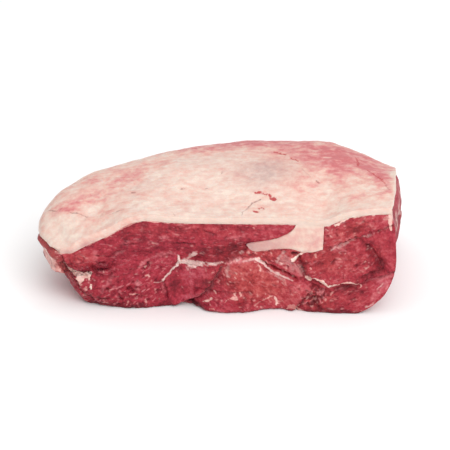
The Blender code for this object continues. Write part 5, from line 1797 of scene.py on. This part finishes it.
@dataclass
class SeamFatWedge:
    """The wedge of seam fat that hangs from the cap into the cut front.

    Attributes:
        top: its upper border on the front, from its tip to its outer corner.
        bottom: its lower border, from its tip.
        root: the place on the front from which it tapers.
        tip: half the height of its blunt tip.
        depth: how far back it runs.
        taper: share of its size that is left at its inner end.
        proud: how far it stands out from the lean.
        seat: width of the hairline that parts it from the lean.
    """

    form: BlockForm
    top: Points = (
        (9.9, 28.6), (15.4, 29.6), (22.4, 31.4), (26, 33.2), (28, 35.4), (29.4, 38), (34, 38.2), (39.4, 38))
    bottom: Points = (
        (9.9, 28.6), (11, 27), (12.5, 26.1), (20.3, 26.3), (26.5, 26.6), (30.5, 25.7), (35, 25.6), (39, 26.7))
    root: tuple[float, float] = (34.4, 38.0)
    tip: float = 0.15
    depth: float = 16.0
    taper: float = 0.45
    proud: float = 0.3
    seat: float = 0.08
    cells: tuple[int, int, int] = (96, 20, 36)

    def block(
            self, name: str, grow: float, front_extra: float, back_extra: float, lean: Lean) -> bpy.types.Object:
        """Make the wedge, or the pocket for it.

        Args:
            name: the piece's name.
            grow: how far its sides are moved outwards.
            front_extra: how far it runs out in front of the cut face.
            back_extra: how much further back it runs.
            lean: the lean, whose relief its front follows.

        Returns:
            The piece.
        """
        piece = gridded_block(name, self.cells)
        unit = np.clip(coordinates(piece), 0, 1)
        bottom, top = (
            tuple((x, z, 0.0) for x, z in ((border[0][0], border[0][1] + shift), *border[1:]))
            for border, shift in ((self.bottom, -self.tip), (self.top, self.tip)))
        flat = patch(bottom, (bottom[-1], top[-1]), top, (bottom[0], top[0]), unit[:, 0], unit[:, 2])[:, :2]
        place_x, place_z = flat[:, 0].copy(), flat[:, 1].copy()
        out = (unit[:, [0, 2]] - 0.5) * 2
        out = np.where(np.abs(out) > 0.999, np.sign(out), 0.0)
        if grow:
            flat = flat + out * grow
        front = self.form.front_y(place_x, place_z)
        if not grow:
            relief = np.clip(lean.seam_relief(place_x, place_z, lean.features.seams), 0.0, lean.most_relief)
            front = front - (relief * smoothstep(37.0, 34.5, place_z) + self.proud)
        run = unit[:, 1] * (self.depth - front + back_extra + front_extra) - front_extra
        spread = 1 - (1 - self.taper) * np.clip(run / (self.depth - front), -1, 2)
        flat = self.root + (flat - self.root) * spread[:, None]
        points = np.stack([flat[:, 0], front + run, flat[:, 1]], -1)
        if not grow:
            at_front = unit[:, 1] < 0.01
            under_cap = smoothstep(0.5, 0.75, unit[:, 0])
            to_edge = np.minimum.reduce([1 - unit[:, 0], unit[:, 2], 1 - unit[:, 2] + under_cap])
            rounding = 0.5 * np.exp(-to_edge / 0.05) + 0.16 * value_noise(points, 2.5, 41, 2)
            points[:, 1] += at_front * rounding
        move_vertices(piece, self.form.to_metres(points))
        return piece


# Where the lean's left end and the right corner of its cut front are drawn in, as (y, z)
LEFT_HOLLOW = Shade(14.0, 16.5, 9.0, 3.0, 0.0, 1.3)
CORNER_HOLLOW = Shade(-1.0, 29.5, 7.0, 6.5, 0.0, 0.9)

PINK_SHADES = shades(
    (48, 48, 28, 22, -15, 0.31), (0, 66, 40, 10, 0, 0.18), (-57, 11, 10, 5, 0, -0.06),
    (52, 42, 28, 11, -40, 0.3), (-43, 9, 9, 4, 20, 0.15), (50, 17, 14, 5, 0, -0.06),
    (44, 18, 16, 8, 0, 0.08), (14, 60, 14, 6, 0, 0.1), (40, 40, 10, 4, -50, 0.16),
    (-60, 17.5, 7, 2.6, -25, 0.36), (-51, 21, 8, 4, 10, 0.26), (-37, 30, 8, 5, 35, 0.26),
    (-34, 38, 9, 5, 25, 0.22), (-24, 44, 14, 5, 25, 0.14), (-50, 34, 16, 12, 40, 0.18),
    (0, 58, 24, 6, 4, 0.3), (10, 68, 38, 10, 4, 0.34), (-14, 14.8, 5, 0.9, 32, 0.2),
    (24, 47, 12, 7, -35, 0.14), (40, 50, 14, 6, -10, 0.18), (50, 42, 14, 5, -42, 0.1),
    (62.5, 26, 12, 4.5, -65, 0.34), (46, 30, 15, 8, -40, 0.1), (60, 50, 12, 12, -60, 0.1),
    (54, 12, 9, 3, 5, 0.16), (15.8, 8.9, 3, 2.5, 0, 0.16), (30, 24, 8, 5, -30, 0.12),
    (34, 8, 12, 2.5, 0, 0.1), (63, 13, 3, 6, 0, 0.18), (-30, 18, 4, 3, 0, 0.1), (-43, 12, 6, 3, 10, 0.14),
)
MEMBRANE_SHADES = shades(
    (17, 34, 11, 8, 10, 0.75), (16, 24, 5, 4, 0, 0.14), (-8, 9, 14, 5, 0, 0.12), (-30, 26, 12, 5, 30, 0.18),
    (-6, 44, 14, 5, 5, 0.2), (-44, 2.5, 9, 3, 20, 0.15),
)

# Where the cap is a little thicker or thinner than its even form
SWELLINGS = shades(
    (-66, 31, 9, 7, 60, 1.1), (-26, 62, 18, 9, 30, -1), (68, 44, 8, 12, 0, -1.7), (2, 70, 10, 8, 0, 0.4),
    (-49, 45, 8, 8, 40, 0.9), (44, 62, 9, 12, 0, 0.8),
)

VESSELS = tuple(strand(DARK, *row) for row in (
    ((7.8, 3.7, 8.6, 6.7, 10.1, 8.9), (0.04,)), ((10.1, 8.9, 12.8, 13, 15.2, 14.9), (0.16,)),
    ((-67.2, 21.7, -65, 19.5, -63.4, 18.4), (0.16,)),
    ((-58.1, 15.2, -56.1, 14.4, -54.1, 13.2, -50.9, 11.4), (0.05, 0.2, 0.05, 0.25)),
    ((-42, 8.2, -40.4, 8.5, -37, 8.2), (0.1,)), ((0.3, 32.6, 0.5, 34.6), (0.1,)),
    ((-17.8, 3.9, -17.1, 3), (0.16,)), ((-34.6, 21.3, -33.2, 20.9), (0.3,)), ((13, 6.6, 14.2, 6.2), (0.2,)),
    ((-6, 22.6, -4.4, 22.4), (0.2,)), ((31.8, 34.2, 34, 30, 35.9, 27.4), (0.05,)),
    ((-15.4, 22.6, -13.8, 22.5), (0.15,)), ((37, 26.4, 38.2, 25), (0.12,)), ((63.4, 19.9, 65, 15), (0.1,)),
))
BLOOD_SPOTS = tuple(strand(BLOOD_AND_PAINTED_SHADE, *row) for row in (
    ((13.4, 19, 16, 19.2, 17.5, 18.2, 19, 17.4, 20, 16.2), (0.35, 0.55, 0.25, 0.45, 0.5)),
    ((19.4, 15.8, 20.9, 15), (0.75,)), ((13, 6.7, 14.5, 6.1), (0.5, 0.35)),
    ((15.4, 9.6, 16.6, 8.4), (0.3, 0.15)), ((14.2, 9.4, 14.8, 8.2), (0.12,)),
    ((21.6, 49.6, 23.9, 48.4, 25.8, 46.6), (0.4, 0.5, 0.3)), ((27.8, 43.9, 29.3, 41.8, 30.4, 40.4), (0.3,)),
    ((53.2, 46, 54.1, 42, 53.8, 36.6), (0.2,)), ((56.4, 33.9, 60, 28.5, 63.4, 20.9), (0.15, 0.25, 0.1)),
))


@dataclass
class FatCap:
    """The cap of fat over the top of the lean, with the wedge of seam fat that hangs from it.

    Attributes:
        form: the block's form.
        wedge: the wedge of seam fat.
        low: lowest corner of the frame's box, in metres.
        high: its highest corner.
        cells: cells of its surface grid along, across and through; its outer skin has twice as many.
        drawn_back: how far its border keeps in from the lean's, at the left and at the back, as shares.
        seat: width of the hairline that parts it from the lean.
        ledge: line along which the top turns down to the broad cut at the left, as (x, y).
    """

    form: BlockForm
    wedge: SeamFatWedge
    low: Array
    high: Array
    cells: tuple[int, int, int] = (180, 90, 4)
    drawn_back: tuple[float, float] = (0.007, 0.03)
    seat: float = 0.08
    ledge: Line = Line(paired((
        -68, 22, -63.4, 18.4, -58.1, 15.2, -54.1, 13.2, -50.9, 11.4, -40.4, 8.5, -31, 3, -26, 1)))
    piece: bpy.types.Object | None = field(default=None, init=False)

    def skins(self) -> tuple[Array, Array]:
        """Inner and outer skin over a grid as fine as the outer skin."""
        form = self.form
        along, across = np.meshgrid(
            np.linspace(self.drawn_back[0], 1, 2 * self.cells[0] + 1),
            np.linspace(0, 1 - self.drawn_back[1], 2 * self.cells[1] + 1), indexing="ij")
        top = form.lean_top(along, across)
        normal = form.cap_normal(top, along, across)
        flat = top.reshape(-1, 3)
        streaked = flat @ np.array([[0.32, -0.67, 0.0], [0.29, 0.74, 0.0], [0.0, 0.0, 1.0]])
        waves = 0.40 * value_noise(flat, 17.0, 51, 2) + 0.16 * value_noise(streaked, 2.4, 53, 3)
        ledge = self.ledge.distance(flat[:, 0], flat[:, 1])
        waves += 0.45 * np.exp(-((ledge / 2.2) ** 2)) * (flat[:, 0] < -30)
        for mark in BLOOD_SPOTS + VESSELS:
            waves -= 0.18 * (1 - smoothstep(-0.1, 0.5, mark.gap(flat[:, 0], flat[:, 1])))
        waves = waves.reshape(across.shape) * smoothstep(0.0, 0.04, across) * smoothstep(0.0, 0.02, 1 - along)
        for swelling in SWELLINGS:
            waves += swelling.at(top[..., 0], top[..., 1])
        thickness = np.maximum(form.cap_thickness_over(top, along, across) + waves - 0.1, 0.6)
        return top + normal * self.seat, top + normal * (form.membrane_gap + thickness)[..., None]

    def build(self, lean: Lean) -> bpy.types.Object:
        """Make the cap, join the wedge to it and paint it.

        Args:
            lean: the lean, whose relief the wedge's front follows.

        Returns:
            The piece.
        """
        self.piece = gridded_block("fat_cap_cream", self.cells, finer=(2, 1.0))
        unit = np.clip(coordinates(self.piece), 0, 1)
        inner, outer = self.skins()
        i, j = (np.rint(unit[:, axis] * self.cells[axis] * 2).astype(int) for axis in (0, 1))
        points = inner[i, j] + (outer[i, j] - inner[i, j]) * unit[:, 2:3]
        bulge = np.sqrt(np.clip(4 * unit[:, 2] * (1 - unit[:, 2]), 0, 1))
        bulge *= 0.3 + 0.25 * value_noise(points, 3.0, 57, 2)
        points[:, 1] -= bulge * (unit[:, 1] < 1e-4)
        points[:, 0] += bulge * (unit[:, 0] > 1 - 1e-4)
        move_vertices(self.piece, self.form.to_metres(points))
        cut_or_join(self.piece, self.wedge.block("seam_fat", 0.0, 0.0, 0.0, lean), "UNION")
        places = coordinates(self.piece)
        paint(self.piece, self.finish_layers(self.form.to_drawn(places)))
        move_vertices(self.piece, keep_inside(places, self.low, self.high))
        smooth_faces(self.piece, crease=50)
        return self.piece

    def finish_layers(self, points: Array) -> dict[str, Array]:
        """What the finish reads on the mesh: how pink it is, its vessels, its spots and its cut faces."""
        moved = points + 0.8 * np.stack([value_noise(points, 4.0, seed, 2) for seed in (91, 92, 93)], -1)
        x, y = moved[:, 0], moved[:, 1]
        z = points[:, 2]
        pink = 0.19 + sum(shade.at(x, y) for shade in PINK_SHADES)
        behind = points[:, 1] - self.form.front_y(points[:, 0], np.minimum(z, 37.0))
        cut = 1 - smoothstep(0.1, 1.2, behind)
        edge = self.form.front_edge(points[:, 0])
        in_wedge = smoothstep(0.0, 1.5, edge - z) * (np.abs(points[:, 0] - 25.0) < 16.0)
        in_wedge *= points[:, 1] < 19.0
        below_ledge = smoothstep(-1.5, 1.2, self.ledge.distance(x, y)) * (x < -26) * (y < 24)
        ragged_x = points[:, 0] + 0.8 * value_noise(points, 2.5, 97, 2)
        rim = smoothstep(65.2, 67.4, ragged_x) * (z > 30) * (y < 36)
        pink = pink * (1 - 0.8 * rim)
        at_left = smoothstep(-24.0, -34.0, points[:, 0])
        wedge_pink = 0.24 + 0.20 * (1 - smoothstep(14.0, 28.0, points[:, 0]))
        pink = pink * (1 - cut) + cut * (0.2 + 0.07 * at_left + in_wedge * wedge_pink)
        low_left = cut * smoothstep(-44.0, -52.0, points[:, 0]) * smoothstep(3.0, 0.5, z - edge)
        membrane = sum(shade.at(x, y) for shade in MEMBRANE_SHADES) * (1 - cut)
        layers = {
            "pink": pink + 0.16 * low_left,
            "membrane": np.clip(membrane + 0.5 * low_left, 0, 1),
            "cut": np.clip(cut * (1 - 0.5 * in_wedge) * (1 - at_left) + 0.6 * rim + 0.1 * below_ledge, 0, 1),
            "slant": smoothstep(10.0, 40.0, points[:, 0]),
            "tip": in_wedge * (0.5 * (1 - smoothstep(10.0, 15.0, points[:, 0]))
                               + 0.6 * (1 - smoothstep(15.0, 28.0, points[:, 0]))),
        }
        lightly = points + 0.25 * np.stack([value_noise(points, 1.5, seed) for seed in (94, 95, 96)], -1)
        for name, marks in (("vessel", VESSELS), ("blood", BLOOD_SPOTS)):
            gap = np.minimum.reduce([mark.gap(lightly[:, 0], lightly[:, 1]) for mark in marks])
            layers[name] = np.where(z > self.form.height / 4, gap, FAR)
        return layers

    def dress(self, finish: LambFatFinish) -> None:
        """Give the cap its finish and stand it for the frame's node."""
        self.piece.data.materials.append(finish.build())
        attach(self.piece, "root")
        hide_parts("fat_cap")


# The studio

@dataclass(frozen=True)
class Softbox:
    """A soft square light that faces the block.

    Attributes:
        name: its name.
        place: where it hangs, in metres.
        size: length of its side in metres.
        power: its power in watts.
    """

    name: str
    place: tuple[float, float, float]
    size: float
    power: float

    def hang(self) -> None:
        """Hang the light."""
        light = bpy.data.objects.new(self.name, bpy.data.lights.new(self.name, "AREA"))
        light.data.size = self.size
        light.data.energy = self.power
        light.location = self.place
        light.rotation_mode = "QUATERNION"
        light.rotation_quaternion = (Vector((0.0, 0.0, 0.02)) - Vector(self.place)).to_track_quat("-Z", "Y")
        bpy.context.scene.collection.objects.link(light)


@dataclass
class Studio:
    """A plain white sweep, soft light from all round and the camera.

    Attributes:
        sweep_size: length of the sweep's side in metres.
        sky: strength of the light from all round.
        softboxes: its lamps.
    """

    form: BlockForm
    sweep_size: float = 6.0
    sky: float = 0.62
    softboxes: tuple[Softbox, ...] = (
        Softbox("key_softbox", (0.42, -0.88, 0.85), 0.9, 9.5),
        Softbox("top_softbox", (0.05, 0.05, 1.3), 1.5, 6.0),
    )

    def add_camera(self) -> None:
        """Stand the camera where the picture was taken from."""
        scene = bpy.context.scene
        camera = bpy.data.objects.new("camera", bpy.data.cameras.new("camera"))
        scene.collection.objects.link(camera)
        camera.location = self.form.to_metres(PHOTO.stand())
        camera.rotation_euler = (math.radians(90.0 - PHOTO.elevation), 0.0, 0.0)
        camera.data.lens = PHOTO.lens
        camera.data.sensor_width = PHOTO.sensor
        camera.data.clip_start = 0.01
        camera.data.clip_end = 50.0
        scene.camera = camera

    def lay_sweep(self, finish: PaperSweepFinish) -> None:
        """Lay the paper sweep that the rump stands on."""
        select_nothing()
        bpy.ops.mesh.primitive_plane_add(size=self.sweep_size, location=(0.0, 0.0, -0.0001))
        sweep = bpy.context.object
        sweep.name = "paper_sweep"
        bpy.ops.object.mode_set(mode="EDIT")
        bpy.ops.mesh.select_all(action="SELECT")
        bpy.ops.mesh.subdivide(number_cuts=8)
        bpy.ops.object.mode_set(mode="OBJECT")
        bpy.ops.object.transform_apply(location=True, rotation=True, scale=True)
        sweep.data.materials.append(finish.build())
        sweep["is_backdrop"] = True

    def light_sky(self) -> None:
        """Light the studio evenly from all round."""
        world = bpy.data.worlds.new("white_tent")
        world.use_nodes = True
        background = world.node_tree.nodes["Background"]
        background.inputs["Color"].default_value = (1.0, 1.0, 1.0, 1.0)
        background.inputs["Strength"].default_value = self.sky
        bpy.context.scene.world = world
        bpy.context.scene.view_settings.view_transform = "Standard"
        bpy.context.scene.view_settings.look = "None"

    def build(self) -> None:
        """Set up the studio."""
        self.add_camera()
        self.lay_sweep(PaperSweepFinish())
        self.light_sky()
        for softbox in self.softboxes:
            softbox.hang()


def main() -> None:
    """Build the rump and its studio."""
    logging.basicConfig(level=logging.INFO, format="%(message)s")
    low, high = (np.array(corner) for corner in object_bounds())
    form = BlockForm()
    lean = Lean(form, low, high)
    wedge = SeamFatWedge(form)
    lean.build(wedge.block("wedge_pocket", wedge.seat, 6.0, form.membrane_gap, lean))
    lean.dress(RawLambFinish())
    LOG.info("lean: %d faces", len(lean.piece.data.polygons))
    cap = FatCap(form, wedge, low, high)
    cap.build(lean)
    cap.dress(LambFatFinish())
    LOG.info("fat cap: %d faces", len(cap.piece.data.polygons))
    Studio(form).build()
    LOG.info("studio set")
    {"cad": [list(low), list(high)], "visual": [list(corner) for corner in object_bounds()]}


if __name__ == "__main__":
    main()
